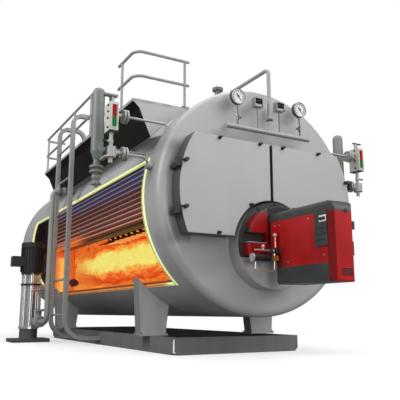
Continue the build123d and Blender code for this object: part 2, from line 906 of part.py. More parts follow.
def fuel_valves():
    """The fuel valve block, coil, gauges and pipe loop, all in one plane beside the housing."""
    y = burner_rear_y - fuel_line_setback
    side_x = -burner_half_width - seat_gap
    valve_top = furnace_z - fuel_valve_drop
    valve_low = valve_top - fuel_valve_height
    valve_x = side_x - fuel_valve_width
    valves = block(
        (valve_x, y - fuel_valve_depth / 2, valve_low), (side_x, y + fuel_valve_depth / 2, valve_top))
    brass_x = side_x - fuel_valve_width / 2
    brass_top = valve_low - fuel_neck_length
    brass_low = brass_top - brass_block_height
    valves += rod((brass_x, y, valve_low), (brass_x, y, brass_top), fuel_neck_radius)
    valves += block(
        (brass_x - brass_block_width / 2, y - brass_block_depth / 2, brass_low),
        (brass_x + brass_block_width / 2, y + brass_block_depth / 2, brass_top))
    coil_z = (brass_top + brass_low) / 2
    coil_x = valve_x - coil_length
    valves += rod((valve_x, y, coil_z), (coil_x, y, coil_z), coil_radius)
    valves += rod((brass_x, y, coil_z), (coil_x - coil_disc_thickness, y, coil_z), fuel_neck_radius)
    disc_x = coil_x - coil_disc_thickness
    valves += rod((disc_x, y, coil_z), (disc_x - coil_disc_thickness, y, coil_z), coil_disc_radius)
    bar_z = (valve_top + valve_low) / 2
    bar_x = valve_x - fuel_bar_length
    valves += rod((valve_x, y, bar_z), (bar_x, y, bar_z), fuel_pipe_radius)
    tall_x = side_x - fuel_valve_width / 3
    for x, low, rise, radius in (
            (tall_x, valve_top, tall_gauge_rise, tall_gauge_radius),
            (valve_x - fuel_valve_depth, bar_z, short_gauge_rise, short_gauge_radius)):
        valves += rod((x, y, low), (x, y, low + rise), fuel_pipe_radius)
        valves += Pos(x, y, low + rise) * Sphere(radius)
    loop_x = coil_x + coil_disc_thickness
    loop_z = coil_z - fuel_loop_drop
    loop = [(loop_x, y, coil_z), (loop_x, y, loop_z), (brass_x, y, loop_z), (brass_x, y, brass_low)]
    return valves + bent_pipe(loop, fuel_pipe_bend, fuel_pipe_radius)


save("fuel_pump", fuel_valves())


# Gauge manifold, dials, switches and balance pipe

manifold_y = front_y - manifold_reach
manifold_z = axis_z + manifold_rise
manifold = rod(
    (-manifold_left, manifold_y, manifold_z), (manifold_right, manifold_y, manifold_z), manifold_radius)
union_z = manifold_z + union_rise
manifold += rod((0, manifold_y, union_z), (0, manifold_y, union_z + union_height), union_radius)
balance_top_z = axis_z + casing_radius + balance_pipe_clearance
balance_end_y = front_y + balance_pipe_run
nozzle_z = axis_z + casing_radius + seat_gap
manifold += bent_pipe(
    [(0, manifold_y, manifold_z), (0, manifold_y, balance_top_z),
     (0, balance_end_y, balance_top_z), (0, balance_end_y, nozzle_z)],
    balance_pipe_bend, balance_pipe_radius)
save("gauge_manifold", manifold)


def dial_gauge(x, knob_side):
    """A round pressure gauge with a sunk face, on its stem and cock; the cock's knob points to knob_side."""
    z = manifold_z + dial_rise
    low = manifold_z + manifold_radius + seat_gap
    face_y = manifold_y - dial_depth / 2
    dial = rod((x, face_y, z), (x, manifold_y + dial_depth / 2, z), dial_radius)
    dial -= rod((x, face_y - cut_overrun, z), (x, face_y + dial_recess, z), dial_radius - dial_rim)
    dial += rod((x, manifold_y, low), (x, manifold_y, z - dial_radius / 2), stem_radius)
    cock_low = low + cock_rise
    cock_high = cock_low + cock_body_height
    for nut_low in (cock_low, cock_high - cock_nut_height):
        dial += rod((x, manifold_y, nut_low), (x, manifold_y, nut_low + cock_nut_height), cock_nut_radius)
    cock_z = (cock_low + cock_high) / 2
    knob_x = x + knob_side * cock_knob_reach
    dial += rod((x, manifold_y, cock_z), (knob_x, manifold_y, cock_z), stem_radius)
    knob_start = (knob_x - knob_side * cock_knob_radius, manifold_y, cock_z)
    return dial + rod(knob_start, (knob_x, manifold_y, cock_z), cock_knob_radius)


save("pressure_gauges", dial_gauge(-dial_offset, 1), dial_gauge(dial_offset, -1))


def pressure_switch(x):
    """A pressure switch box with a sunk window, on a thin stem."""
    z = manifold_z + switch_rise
    low = manifold_z + manifold_radius + seat_gap
    box = block(
        (x - switch_width / 2, manifold_y - switch_depth / 2, z - switch_height / 2),
        (x + switch_width / 2, manifold_y + switch_depth / 2, z + switch_height / 2))
    half_window = switch_width / 2 - switch_window_border
    face_y = manifold_y - switch_depth / 2
    box -= block(
        (x - half_window, face_y - switch_window_depth, z - switch_height / 2 + switch_window_foot),
        (x + half_window, face_y + switch_window_depth, z + switch_height / 2 - switch_window_border))
    return box + rod((x, manifold_y, low), (x, manifold_y, z), stem_radius)


save("pressure_switches", *[pressure_switch(x) for x in switch_offsets])


# Water level chambers and gauges

column_x = -casing_radius - chamber_column_clearance
column_y = front_y + chamber_column_setback
gauge_x = -casing_radius - gauge_box_clearance
gauge_y = front_y + gauge_box_setback + gauge_box_depth / 2
gauge_low_z = axis_z + gauge_box_rise
gauge_high_z = gauge_low_z + gauge_box_height
upper_pipe_z = axis_z + upper_pipe_rise
lower_pipe_z = axis_z + lower_pipe_rise
casing_cut = shell_disc(casing_radius + seat_gap, front_y, rear_y)


def level_chamber():
    """The left float chamber: a domed column that narrows to flanges, valve and drain, with a
    branch to the shell."""
    low = axis_z + chamber_column_bottom
    dome_z = axis_z + chamber_column_top - chamber_column_radius
    neck_z = low - chamber_cone_height
    drain_z = low - chamber_drain_drop
    column = rod((column_x, column_y, low), (column_x, column_y, dome_z), chamber_column_radius)
    column += Pos(column_x, column_y, dome_z) * Sphere(chamber_column_radius)
    column += Pos(column_x, column_y, (low + neck_z) / 2) * Cone(
        chamber_neck_radius, chamber_column_radius, chamber_cone_height)
    column += rod((column_x, column_y, drain_z), (column_x, column_y, neck_z), chamber_neck_radius)
    for drop in chamber_flange_drops:
        z = low - drop
        column += rod(
            (column_x, column_y, z - level_flange_thickness), (column_x, column_y, z), level_flange_radius)
    column += Pos(column_x, column_y, low - chamber_valve_drop) * Sphere(chamber_valve_radius)
    column += rod(
        (column_x, column_y, drain_z - level_flange_thickness), (column_x, column_y, drain_z),
        chamber_drain_flange_radius)
    column += rod(
        (column_x, column_y, drain_z - chamber_drain_length), (column_x, column_y, drain_z),
        chamber_drain_radius)
    branch_z = axis_z + chamber_branch_rise
    column += rod(
        (column_x, column_y, branch_z), (-casing_radius / 2, column_y, branch_z), chamber_branch_radius)
    return column - casing_cut


def gauge_housing():
    """The left water level gauge's housing."""
    y = front_y + gauge_box_setback
    return block(
        (gauge_x - gauge_box_width / 2, y, gauge_low_z),
        (gauge_x + gauge_box_width / 2, y + gauge_box_depth, gauge_high_z))


def flange_pair(z):
    """Two pipe flanges side by side with a gap, and the pipe between them, along X."""
    first = gauge_x + gauge_flange_reach
    second = first + level_flange_thickness + level_flange_gap
    pair = rod((first, gauge_y, z), (second + level_flange_thickness, gauge_y, z), gauge_neck_radius)
    for start in (first, second):
        pair += rod((start, gauge_y, z), (start + level_flange_thickness, gauge_y, z), level_flange_radius)
    return pair


def column_link(z, start_x):
    """The short pipe from the float chamber to a gauge line at height z."""
    column_side_x = column_x + chamber_column_radius / 2
    link = rod((column_side_x, column_y, z), (column_side_x, gauge_y, z), gauge_stem_radius)
    link += rod((column_side_x, gauge_y, z), (start_x, gauge_y, z), gauge_stem_radius)
    column = rod(
        (column_x, column_y, z - cut_overrun), (column_x, column_y, z + cut_overrun),
        chamber_column_radius + seat_gap)
    return link - column


def upper_line():
    """The upper gauge line: a neck from the housing, flanges, and a pipe that drops to the shell."""
    z = upper_pipe_z
    neck_x = gauge_x + gauge_box_width / 2 + seat_gap
    nozzle_x = -casing_radius + upper_nozzle_inset
    line = rod((neck_x, gauge_y, z), (gauge_x + gauge_flange_reach, gauge_y, z), gauge_neck_radius)
    line += flange_pair(z)
    casing_z = axis_z + sqrt(casing_radius ** 2 - nozzle_x ** 2)
    line += bent_pipe(
        [(neck_x, gauge_y, z), (nozzle_x, gauge_y, z), (nozzle_x, gauge_y, casing_z - cut_overrun)],
        gauge_pipe_bend, gauge_pipe_radius)
    nozzle = rod(
        (nozzle_x, gauge_y, casing_z - cut_overrun), (nozzle_x, gauge_y, casing_z + upper_nozzle_radius),
        upper_nozzle_radius)
    return line + nozzle - casing_cut


def lower_line():
    """The lower gauge line: stem, lever, valve body, flanges, and a bent pipe to its nozzle on the shell."""
    z = lower_pipe_z
    line = rod((gauge_x, gauge_y, gauge_low_z - seat_gap), (gauge_x, gauge_y, z), gauge_stem_radius)
    lever_z = gauge_low_z - gauge_lever_drop
    line += rod(
        (gauge_x, gauge_y, lever_z), (gauge_x - gauge_lever_length, gauge_y, lever_z), gauge_stem_radius / 2)
    line += rod(
        (gauge_x, gauge_y, lever_z - gauge_stem_radius), (gauge_x, gauge_y, lever_z + gauge_stem_radius),
        gauge_neck_radius)
    body_low = z - gauge_body_length / 2
    body_high = body_low + gauge_body_length
    line += rod((gauge_x, gauge_y, body_low), (gauge_x, gauge_y, body_high), gauge_body_radius)
    line += rod(
        (gauge_x, gauge_y, body_low - gauge_drain_length), (gauge_x, gauge_y, body_low), gauge_drain_radius)
    line += rod((gauge_x, gauge_y, z), (gauge_x + gauge_flange_reach, gauge_y, z), gauge_neck_radius)
    line += flange_pair(z)
    line += column_link(z, gauge_x)
    angle = radians(lower_nozzle_angle)
    reach = casing_radius + lower_nozzle_length
    inner = (casing_radius * cos(angle), gauge_y, axis_z + casing_radius * sin(angle))
    outer = (reach * cos(angle), gauge_y, axis_z + reach * sin(angle))
    bend_x = -casing_radius - lower_bend_clearance
    line += bent_pipe(
        [(gauge_x, gauge_y, z), (bend_x, gauge_y, z), inner], lower_pipe_bend, gauge_pipe_radius)
    line += rod(outer, inner, lower_nozzle_radius)
    return line - casing_cut


def gauge_head():
    """The gauge's upper valve head with its T handle."""
    low = gauge_high_z + seat_gap
    head = rod((gauge_x, gauge_y, low), (gauge_x, gauge_y, low + gauge_head_height), gauge_head_radius)
    stem_x = gauge_x - gauge_head_radius
    handle_z = low + gauge_head_height + gauge_handle_thickness
    head += rod((stem_x, gauge_y, low), (stem_x, gauge_y, handle_z), gauge_head_radius / 2)
    handle_low_z = handle_z - gauge_handle_thickness
    return head + block(
        (stem_x - gauge_handle_length / 2, gauge_y - gauge_handle_width / 2, handle_low_z),
        (stem_x + gauge_handle_length / 2, gauge_y + gauge_handle_width / 2, handle_z))


left_chamber = level_chamber()
left_housing = gauge_housing()
left_piping = [upper_line(), lower_line(), gauge_head()]
save("left_level_chamber", left_chamber)
save("right_level_chamber", mirror_side(left_chamber))
save("left_level_gauge", left_housing)
save("right_level_gauge", mirror_side(left_housing))
save("left_gauge_piping", *left_piping)
save("right_gauge_piping", *[mirror_side(piece) for piece in left_piping])


# Walkway

deck_z = axis_z + casing_radius
deck_low_z = deck_z - deck_thickness
deck_front_y = front_y + deck_setback
deck_rear_y = deck_front_y + deck_length
deck_outer_x = -casing_radius + deck_outer_inset
skirt_lip_x = -casing_radius + skirt_lip_inset
skirt_foot_x = -casing_radius + skirt_foot_inset
deck_inner_x = -sqrt((casing_radius + seat_gap) ** 2 - (deck_low_z - axis_z) ** 2)
deck = block((deck_outer_x, deck_front_y, deck_low_z), (deck_inner_x, deck_rear_y, deck_z))
save("walkway_deck", deck)


def walkway_skirt():
    """The closed sides under the deck: a sloping outer side and two end panels."""
    lip_z = deck_low_z - skirt_lip_drop
    foot_z = axis_z + sqrt(casing_radius ** 2 - skirt_foot_x ** 2) - cut_overrun
    outline = Polyline(
        (deck_outer_x + skirt_thickness, deck_low_z - seat_gap), (skirt_lip_x, lip_z),
        (skirt_foot_x, foot_z), (deck_inner_x, foot_z), (deck_inner_x, deck_low_z - seat_gap), close=True)
    body = along_y(make_face(outline), deck_front_y, deck_rear_y)
    inner = Polyline(
        (deck_outer_x + 2 * skirt_thickness, deck_low_z), (skirt_lip_x + skirt_thickness, lip_z),
        (skirt_foot_x + skirt_thickness, foot_z), (0, foot_z), (0, deck_low_z), close=True)
    body -= along_y(make_face(inner), deck_front_y + skirt_thickness, deck_rear_y - skirt_thickness)
    return body - casing_cut


save("walkway_skirt", walkway_skirt())


# Guard rails

rail_x = deck_outer_x + post_inset
front_rail_y = deck_front_y + post_inset
rail_levels = [deck_z + rail_top_height, deck_z + rail_middle_height]


def post(x, y):
    """A rail post on its base plate, which stays inside the deck's outer and front edges."""
    base_x = max(x - post_base_size / 2, deck_outer_x)
    base_y = max(y - post_base_size / 2, deck_front_y)
    base = block(
        (base_x, base_y, deck_z + seat_gap),
        (base_x + post_base_size, base_y + post_base_size, deck_z + post_base_thickness))
    return base + rod((x, y, deck_z + seat_gap), (x, y, deck_z + rail_top_height), post_radius)


def front_rail():
    """The short guard rail round the deck's front corner."""
    end_x = rail_x + front_rail_width
    side_y = front_rail_y + front_rail_side_length
    guard = post(rail_x, side_y - rail_bend) + post(end_x - rail_bend / 2, front_rail_y)
    for z in rail_levels:
        route = [(rail_x, side_y, z), (rail_x, front_rail_y, z), (end_x, front_rail_y, z)]
        guard += bent_pipe(route, rail_bend, rail_radius)
    return guard


def side_rail():
    """The long guard rail at the deck's left edge, with both ends turned in."""
    start_y = deck_front_y + side_rail_start
    end_y = start_y + side_rail_length
    first_y = start_y + rail_bend + post_base_size / 2
    last_y = end_y - rail_bend - post_base_size / 2
    pitch = (last_y - first_y) / (side_rail_post_count - 1)
    guard = post(rail_x, first_y)
    for number in range(1, side_rail_post_count):
        guard += post(rail_x, first_y + number * pitch)
    for z in rail_levels:
        route = [
            (rail_x + side_rail_front_return, start_y, z), (rail_x, start_y, z),
            (rail_x, end_y, z), (rail_x + side_rail_rear_return, end_y, z)]
        guard += bent_pipe(route, rail_bend, rail_radius)
    return guard


save("front_guard_rail", front_rail())
save("side_guard_rail", side_rail())


# Ladder

ladder_x = -casing_radius - ladder_clearance


def stringer(y):
    """One bent side bar, from the skid up and over onto the deck."""
    top_z = deck_z + ladder_top_height
    over_x = ladder_x + ladder_reach_over
    points = [
        (-skid_half_width - seat_gap, y, ladder_foot_height), (ladder_x, y, ladder_foot_height),
        (ladder_x, y, top_z), (over_x, y, top_z), (over_x, y, deck_z + seat_gap)]
    bends = [ladder_foot_bend, ladder_top_bend, ladder_top_bend]
    profile = Plane(points[0], x_dir=(0, 1, 0), z_dir=(-1, 0, 0)) * Rectangle(stringer_width, stringer_depth)
    return bent_bar(points, bends, profile)


def ladder():
    """Two stringers with rungs between them."""
    near_y = front_y + ladder_setback
    far_y = near_y + ladder_width
    body = stringer(near_y) + stringer(far_y)
    rung_z = beam_height + first_rung_height
    while rung_z < deck_z:
        body += rod((ladder_x, near_y, rung_z), (ladder_x, far_y, rung_z), rung_radius)
        rung_z += rung_pitch
    return body


save("ladder", ladder())


# Feed pump, motor, pipe and valve

pump_x = -casing_radius - pump_clearance
pump_y = front_y + pump_setback
feed_x = -casing_radius - feed_pipe_clearance
feed_z = feed_line_height
riser_y = front_y + feed_pipe_setback


def feed_pump():
    """The multistage pump: foot, stack, tie rods, collars and outlet."""
    body = block(
        (pump_x - pump_base_width / 2, pump_y - pump_base_length / 2, 0),
        (pump_x + pump_base_width / 2, pump_y + pump_base_length / 2, pump_base_thickness))
    foot_top = pump_base_thickness + pump_foot_height
    stack_top = foot_top + pump_stack_height
    body += rod((pump_x, pump_y, 0), (pump_x, pump_y, foot_top), pump_foot_radius)
    body += rod((pump_x, pump_y, 0), (pump_x, pump_y, stack_top), pump_stack_radius)
    for z in (foot_top, stack_top - pump_ring_drop, stack_top - pump_collar_thickness):
        body += rod((pump_x, pump_y, z), (pump_x, pump_y, z + pump_collar_thickness), pump_collar_radius)
    outlet = rod((feed_x, pump_y, feed_z), (feed_x, pump_y - pump_outlet_radius, feed_z), feed_pipe_radius)
    body += outlet & rod((pump_x, pump_y, foot_top), (pump_x, pump_y, stack_top), pump_outlet_radius)
    for number in range(tie_rod_count):
        angle = radians(360 * (number + 0.5) / tie_rod_count)
        x = pump_x + tie_rod_circle * cos(angle)
        y = pump_y + tie_rod_circle * sin(angle)
        body += rod((x, y, foot_top), (x, y, stack_top), tie_rod_radius)
    return body


motor_low_z = pump_base_thickness + pump_foot_height + pump_stack_height + seat_gap


def feed_motor():
    """The pump's finned motor with its terminal box."""
    core = motor_radius - motor_fin_depth
    motor = rod((pump_x, pump_y, motor_low_z), (pump_x, pump_y, motor_low_z + motor_height), core)
    fin = block(
        (0, -motor_fin_depth / 4, motor_low_z + motor_fin_depth),
        (motor_radius, motor_fin_depth / 4, motor_low_z + motor_height - motor_fin_depth))
    for number in range(motor_fin_count):
        motor += Pos(pump_x, pump_y, 0) * Rot(0, 0, 360 * number / motor_fin_count) * fin
    cover_low = motor_low_z + motor_height - fan_cover_height
    cover = rod((pump_x, pump_y, cover_low), (pump_x, pump_y, motor_low_z + motor_height), motor_radius)
    motor += fillet(cover.edges().sort_by(Axis.Z)[-1], motor_fin_depth)
    middle = motor_low_z + terminal_box_rise
    motor += block(
        (pump_x - motor_radius - terminal_box_width, pump_y - terminal_box_length / 2,
         middle - terminal_box_height / 2),
        (pump_x, pump_y + terminal_box_length / 2, middle + terminal_box_height / 2))
    return motor


save("feed_pump", feed_pump())
save("feed_motor", feed_motor())


def feed_valve():
    """The globe valve in the feed pipe: body, two flanges, bonnet, yoke, stem and handwheel."""
    y = riser_y + feed_valve_place_share * (pump_y - riser_y)
    bonnet_z = feed_z + bonnet_height
    yoke_z = bonnet_z + feed_flange_thickness
    yoke_top = yoke_z + yoke_height
    wheel_z = yoke_top + valve_stem_rise
    valve = Pos(feed_x, y, feed_z) * Sphere(feed_valve_radius)
    for start in (y - feed_flange_reach, y + feed_flange_reach - feed_flange_thickness):
        valve += rod(
            (feed_x, start, feed_z), (feed_x, start + feed_flange_thickness, feed_z), feed_flange_radius)
    valve += rod((feed_x, y, feed_z), (feed_x, y, bonnet_z), bonnet_radius)
    valve += rod((feed_x, y, bonnet_z), (feed_x, y, yoke_z), feed_flange_radius)
    for side in (-1, 1):
        arm_y = y + side * (yoke_width - yoke_arm) / 2
        valve += block(
            (feed_x - yoke_arm / 2, arm_y - yoke_arm / 2, yoke_z),
            (feed_x + yoke_arm / 2, arm_y + yoke_arm / 2, yoke_top))
    valve += rod((feed_x, y, yoke_top - yoke_arm), (feed_x, y, yoke_top), yoke_width / 2)
    valve += rod((feed_x, y, yoke_z), (feed_x, y, wheel_z), valve_stem_radius)
    valve += Pos(feed_x, y, wheel_z) * Torus(handwheel_radius, handwheel_rim)
    spoke = rod((0, 0, 0), (handwheel_radius, 0, 0), handwheel_rim / 2)
    for number in range(handwheel_spoke_count):
        valve += Pos(feed_x, y, wheel_z) * Rot(0, 0, 360 * number / handwheel_spoke_count) * spoke
    return valve


def shell_nozzle(y, z):
    """The check valve and flanges where the feed pipe meets the shell."""
    x = feed_x + shell_valve_inset
    nozzle = Pos(x, y, z) * Sphere(shell_valve_radius)
    for side in (-1, 1):
        start = x + side * feed_flange_radius
        nozzle += rod((start, y, z), (start + side * feed_flange_thickness, y, z), feed_flange_radius)
    return nozzle


def feed_pipe():
    """The feed water pipe from the pump's outlet up to the shell, with its valves."""
    top_z = axis_z + feed_pipe_rise
    route = [
        (feed_x, pump_y, feed_z), (feed_x, riser_y, feed_z),
        (feed_x, riser_y, top_z), (-casing_radius / 2, riser_y, top_z)]
    pipe = bent_pipe(route, feed_pipe_bend, feed_pipe_radius) + feed_valve() + shell_nozzle(riser_y, top_z)
    pipe -= rod((pump_x, pump_y, 0), (pump_x, pump_y, motor_low_z), pump_outlet_radius + seat_gap)
    return pipe - casing_cut


save("feed_pipe", feed_pipe())


# Safety valve stub

def safety_valve():
    x = -safety_valve_offset
    y = front_y + safety_valve_setback
    top_z = axis_z + casing_radius + safety_valve_height
    low_z = axis_z + sqrt(casing_radius ** 2 - safety_valve_offset ** 2) - cut_overrun
    valve = rod((x, y, low_z), (x, y, top_z), safety_valve_radius)
    valve += rod((x, y, top_z - safety_valve_radius), (x, y, top_z), safety_flange_radius)
    return valve - casing_cut


save("safety_valve", safety_valve())
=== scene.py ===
from math import cos, pi, radians, sin, sqrt

import bmesh
import bpy
from mathutils import Matrix, Vector, noise


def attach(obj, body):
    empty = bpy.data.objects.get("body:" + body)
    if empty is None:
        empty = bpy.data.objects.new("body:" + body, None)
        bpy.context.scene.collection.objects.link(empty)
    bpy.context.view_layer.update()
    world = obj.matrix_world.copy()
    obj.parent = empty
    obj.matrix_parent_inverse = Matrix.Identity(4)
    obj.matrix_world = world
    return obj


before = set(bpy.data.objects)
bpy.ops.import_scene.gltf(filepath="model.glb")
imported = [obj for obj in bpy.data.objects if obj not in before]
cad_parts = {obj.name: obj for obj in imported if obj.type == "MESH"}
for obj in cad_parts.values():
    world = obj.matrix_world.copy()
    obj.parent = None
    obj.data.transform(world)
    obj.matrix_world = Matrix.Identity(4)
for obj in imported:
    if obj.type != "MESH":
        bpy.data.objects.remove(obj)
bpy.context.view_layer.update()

# Places on the boiler, in metres, as its solids have them
front_y = -0.5945
rear_y = 6.4055
axis_z = 1.836
casing_radius = 1.4
door_face_y = front_y - 0.183

furnace_z = 1.248
furnace_cut_x = -0.21
furnace_crest = 0.69
furnace_valley = 0.602
wave_start = 0.0205
wave_pitch = 0.266
wave_count = 16

chamber_z = 1.336
chamber_radius = 0.771
chamber_cut_x = -0.4195
chamber_back_y = 5.7405

tube_plate_y = front_y + 0.230
tube_radius = 0.03
bank_low_z = axis_z - 0.056
bank_pitch = 0.077
hidden_columns = ((0.672, range(10)), (0.588, range(5)), (0.504, range(1, 5)))
side_columns = ((0.84, range(10)), (0.756, range(10)), *hidden_columns)

manifold_y = front_y - 0.168
manifold_z = axis_z + 0.798
dial_x = 0.462
gauge_x = 1.862
gauge_y = front_y + 0.281
glass_low_z = axis_z + 0.633
glass_high_z = axis_z + 0.969
column_x = 1.89
column_y = front_y + 0.672

deck_z = axis_z + casing_radius
deck_left_x = -1.324
deck_front_y = 0.3985
feed_x = -1.61
feed_valve_y = 3.6491

housing_side_x = -0.16
housing_front_y = -1.9391
panel_x = housing_side_x - 0.0123
cover_low_z = 1.486
fuel_y = -1.0741

black = (0.0, 0.0, 0.0, 1.0)
white = (1.0, 1.0, 1.0, 1.0)


# Finishes: nodes, links that work like numbers, and the material they make

class Link:
    """The output of a node. Sums, products and tests of links add the Math nodes they need."""

    def __init__(self, graph, socket):
        self.graph = graph
        self.socket = socket

    def maths(self, operation, *values):
        return self.graph.node("ShaderNodeMath", {"operation": operation}, dict(enumerate(values)))

    def __add__(self, other):
        return self.maths("ADD", self, other)

    def __radd__(self, other):
        return self.maths("ADD", other, self)

    def __sub__(self, other):
        return self.maths("SUBTRACT", self, other)

    def __rsub__(self, other):
        return self.maths("SUBTRACT", other, self)

    def __mul__(self, other):
        return self.maths("MULTIPLY", self, other)

    def __rmul__(self, other):
        return self.maths("MULTIPLY", other, self)

    def __truediv__(self, other):
        return self.maths("DIVIDE", self, other)

    def __gt__(self, other):
        return self.maths("GREATER_THAN", self, other)

    def __lt__(self, other):
        return self.maths("LESS_THAN", self, other)

    def __abs__(self):
        return self.maths("ABSOLUTE", self)

    def or_more(self, other):
        return self.maths("MAXIMUM", self, other)

    def or_less(self, other):
        return self.maths("MINIMUM", self, other)

    def sine(self):
        return self.maths("SINE", self)

    def root(self):
        return self.maths("POWER", self, 0.5)

    def ramp(self, none, full):
        """0 at none and 1 at full, smooth between; full may be the lower of the two."""
        return self.graph.node(
            "ShaderNodeMapRange", {"interpolation_type": "SMOOTHSTEP"},
            {"Value": self, "From Min": none, "From Max": full})


class Graph:
    """The nodes of one material or world."""

    def __init__(self, tree):
        self.tree = tree
        tree.nodes.clear()

    def node(self, kind, settings=None, inputs=None, output=0):
        """A new node with its settings first, then the values or links of its sockets."""
        made = self.tree.nodes.new(kind)
        for name, value in (settings or {}).items():
            setattr(made, name, value)
        for key, value in (inputs or {}).items():
            if isinstance(value, Link):
                self.tree.links.new(value.socket, made.inputs[key])
            else:
                made.inputs[key].default_value = value
        return Link(self, made.outputs[output])

    def blend(self, share, first, second):
        """A shader between two shaders."""
        return self.node("ShaderNodeMixShader", {}, {0: share, 1: first, 2: second})

    def camera_ray(self):
        return self.node("ShaderNodeLightPath", {}, {}, "Is Camera Ray")

    def close(self, shader, kind="ShaderNodeOutputMaterial"):
        output = self.tree.nodes.new(kind)
        self.tree.links.new(shader.socket, output.inputs["Surface"])


class Finish(Graph):
    """One procedural material on Object coordinates."""

    def __init__(self, name):
        self.material = bpy.data.materials.new(name)
        self.material.use_nodes = True
        super().__init__(self.material.node_tree)
        self.place = self.node("ShaderNodeTexCoord", output="Object")
        self.x, self.y, self.z = self.parts(self.place)

    def parts(self, vector):
        return [self.node("ShaderNodeSeparateXYZ", {}, {0: vector}, output) for output in "XYZ"]

    def facing(self):
        """The three parts of the surface normal."""
        return self.parts(self.node("ShaderNodeNewGeometry", {}, {}, "Normal"))

    def stretch(self, scale, where=None):
        """Coordinates scaled along each axis."""
        return self.node("ShaderNodeMapping", {}, {"Vector": where or self.place, "Scale": scale})

    def bent(self, size, push, scale):
        """Coordinates pushed about by noise and then scaled, for tongues of fire."""
        wander = self.node("ShaderNodeTexNoise", {}, {"Vector": self.place, "Scale": size}, "Color")
        moved = self.node(
            "ShaderNodeVectorMath", {"operation": "MULTIPLY_ADD"}, {0: wander, 1: push, 2: self.place})
        return self.stretch(scale, moved)

    def grain(self, scale, detail=3.0, where=None, roughness=0.5):
        """Soft noise between 0 and 1."""
        return self.node("ShaderNodeTexNoise", {}, {
            "Vector": where or self.place, "Scale": scale, "Detail": detail, "Roughness": roughness})

    def cells(self, scale):
        """Distance to the nearest cell point."""
        return self.node("ShaderNodeTexVoronoi", {}, {"Vector": self.place, "Scale": scale})

    def mix(self, share, first, second):
        """A colour between two colours."""
        return self.node("ShaderNodeMix", {"data_type": "RGBA"}, {0: share, 6: first, 7: second}, 2)

    def within(self, low, high):
        """1 inside a box, 0 outside; None leaves a side open."""
        mask = 1.0
        for place, bottom, top in zip((self.x, self.y, self.z), low, high):
            if bottom is not None:
                mask = (place > bottom) * mask
            if top is not None:
                mask = (place < top) * mask
        return mask

    def from_line(self, x, z, width=1.0, height=1.0):
        """The squared distance from a line along Y, counted in widths across and heights up."""
        across, up = (self.x - x) / width, (self.z - z) / height
        return across * across + up * up

    def relief(self, height, distance, strength=0.5):
        return self.node(
            "ShaderNodeBump", {}, {"Height": height, "Distance": distance, "Strength": strength}, "Normal")

    def done(self, **inputs):
        """Closes the material with a Principled shader."""
        sockets = {key.replace("_", " "): value for key, value in inputs.items()}
        self.close(self.node("ShaderNodeBsdfPrincipled", {}, sockets))
        return self.material


def tone(red, green, blue):
    """A display colour, 0 to 255, as a shader colour."""
    shares = [value / 255 for value in (red, green, blue)]
    linear = [share / 12.92 if share <= 0.04045 else ((share + 0.055) / 1.055) ** 2.4 for share in shares]
    return (*linear, 1.0)


def times(colour, share):
    """A colour made darker or paler."""
    return (*[min(value * share, 1.0) for value in colour[:3]], 1.0)


# Paint and bare metal

def painted(name, colour, roughness=0.42, mottle=0.08, dust=0.12, shade=None):
    """Sprayed paint: a faint mottle, dust that lies on faces that look up, and fine orange peel.
    shade takes the finish and gives a mask and the darker colour that shows there."""
    finish = Finish(name)
    cloud = finish.grain(1.7, 4.0)
    speck = finish.grain(160.0, 2.0)
    streak = finish.grain(1.0, 3.0, finish.stretch((7.0, 7.0, 0.7)))
    dark, pale = times(colour, 1 - 2 * mottle), times(colour, 1 + 2 * mottle)
    base = finish.mix((cloud * 0.6 + streak * 0.4).ramp(0.3, 0.7), dark, pale)
    dusty = finish.facing()[2].ramp(0.5, 1.0) * finish.grain(5.0, 5.0).ramp(0.35, 0.75) * dust
    base = finish.mix(dusty, base, tone(176, 172, 165))
    if shade:
        mask, darker = shade(finish)
        base = finish.mix(mask, base, darker)
    rough = roughness + (speck - 0.5) * 0.12 + dusty * 0.5
    return finish.done(Base_Color=base, Roughness=rough, Normal=finish.relief(speck, 0.0006, 0.35))


def bare_metal(name, colour, roughness=0.3):
    """Drawn or turned metal with fine lines."""
    finish = Finish(name)
    lines = finish.grain(14.0, 4.0, finish.stretch((1.0, 1.0, 40.0)))
    dark = times(colour, 0.72)
    base = finish.mix(lines, dark, colour)
    base = finish.mix(finish.grain(6.0, 3.0).ramp(0.45, 0.8) * 0.5, base, dark)
    return finish.done(
        Base_Color=base, Metallic=1.0, Roughness=roughness + (lines - 0.5) * 0.2,
        Normal=finish.relief(lines, 0.0004, 0.3))


def plain(name, colour, roughness=0.5, metallic=0.0, shine=0.5):
    """A small part's finish with a faint grain."""
    finish = Finish(name)
    speck = finish.grain(200.0, 2.0)
    return finish.done(
        Base_Color=finish.mix(speck, times(colour, 0.88), colour), Metallic=metallic,
        Specular_IOR_Level=shine, Roughness=roughness + (speck - 0.5) * 0.1)


# Darker places on painted pieces: each gives a mask and its colour

def door_side_shade(finish):
    """Painted shade: the door pans' sides, behind their faces, are painted dark."""
    return (abs(finish.facing()[1]) < 0.6) * (finish.y > door_face_y + 0.0015), tone(74, 74, 74)


def plate_shade(finish):
    """Painted shade on the front plate along the doors' outer edges, and a soft painted shadow of the burner
    low on the left.
    """
    side = abs(finish.x).ramp(1.345, 1.185) * (abs(finish.x) > 1.0)
    side = side * abs(finish.z - 1.82).ramp(0.66, 0.5) * 0.75
    # a soft painted shadow of the burner, low on the left
    cloud = finish.from_line(-0.82, 1.20, 0.46, 0.42).ramp(1.0, 0.1) * 0.36
    return side.or_more(cloud), tone(84, 78, 78)


def leg_side_shade(finish):
    """Painted shade: the legs' sides facing -X are painted a darker grey than their fronts."""
    return finish.facing()[0] < -0.5, tone(126, 126, 126)


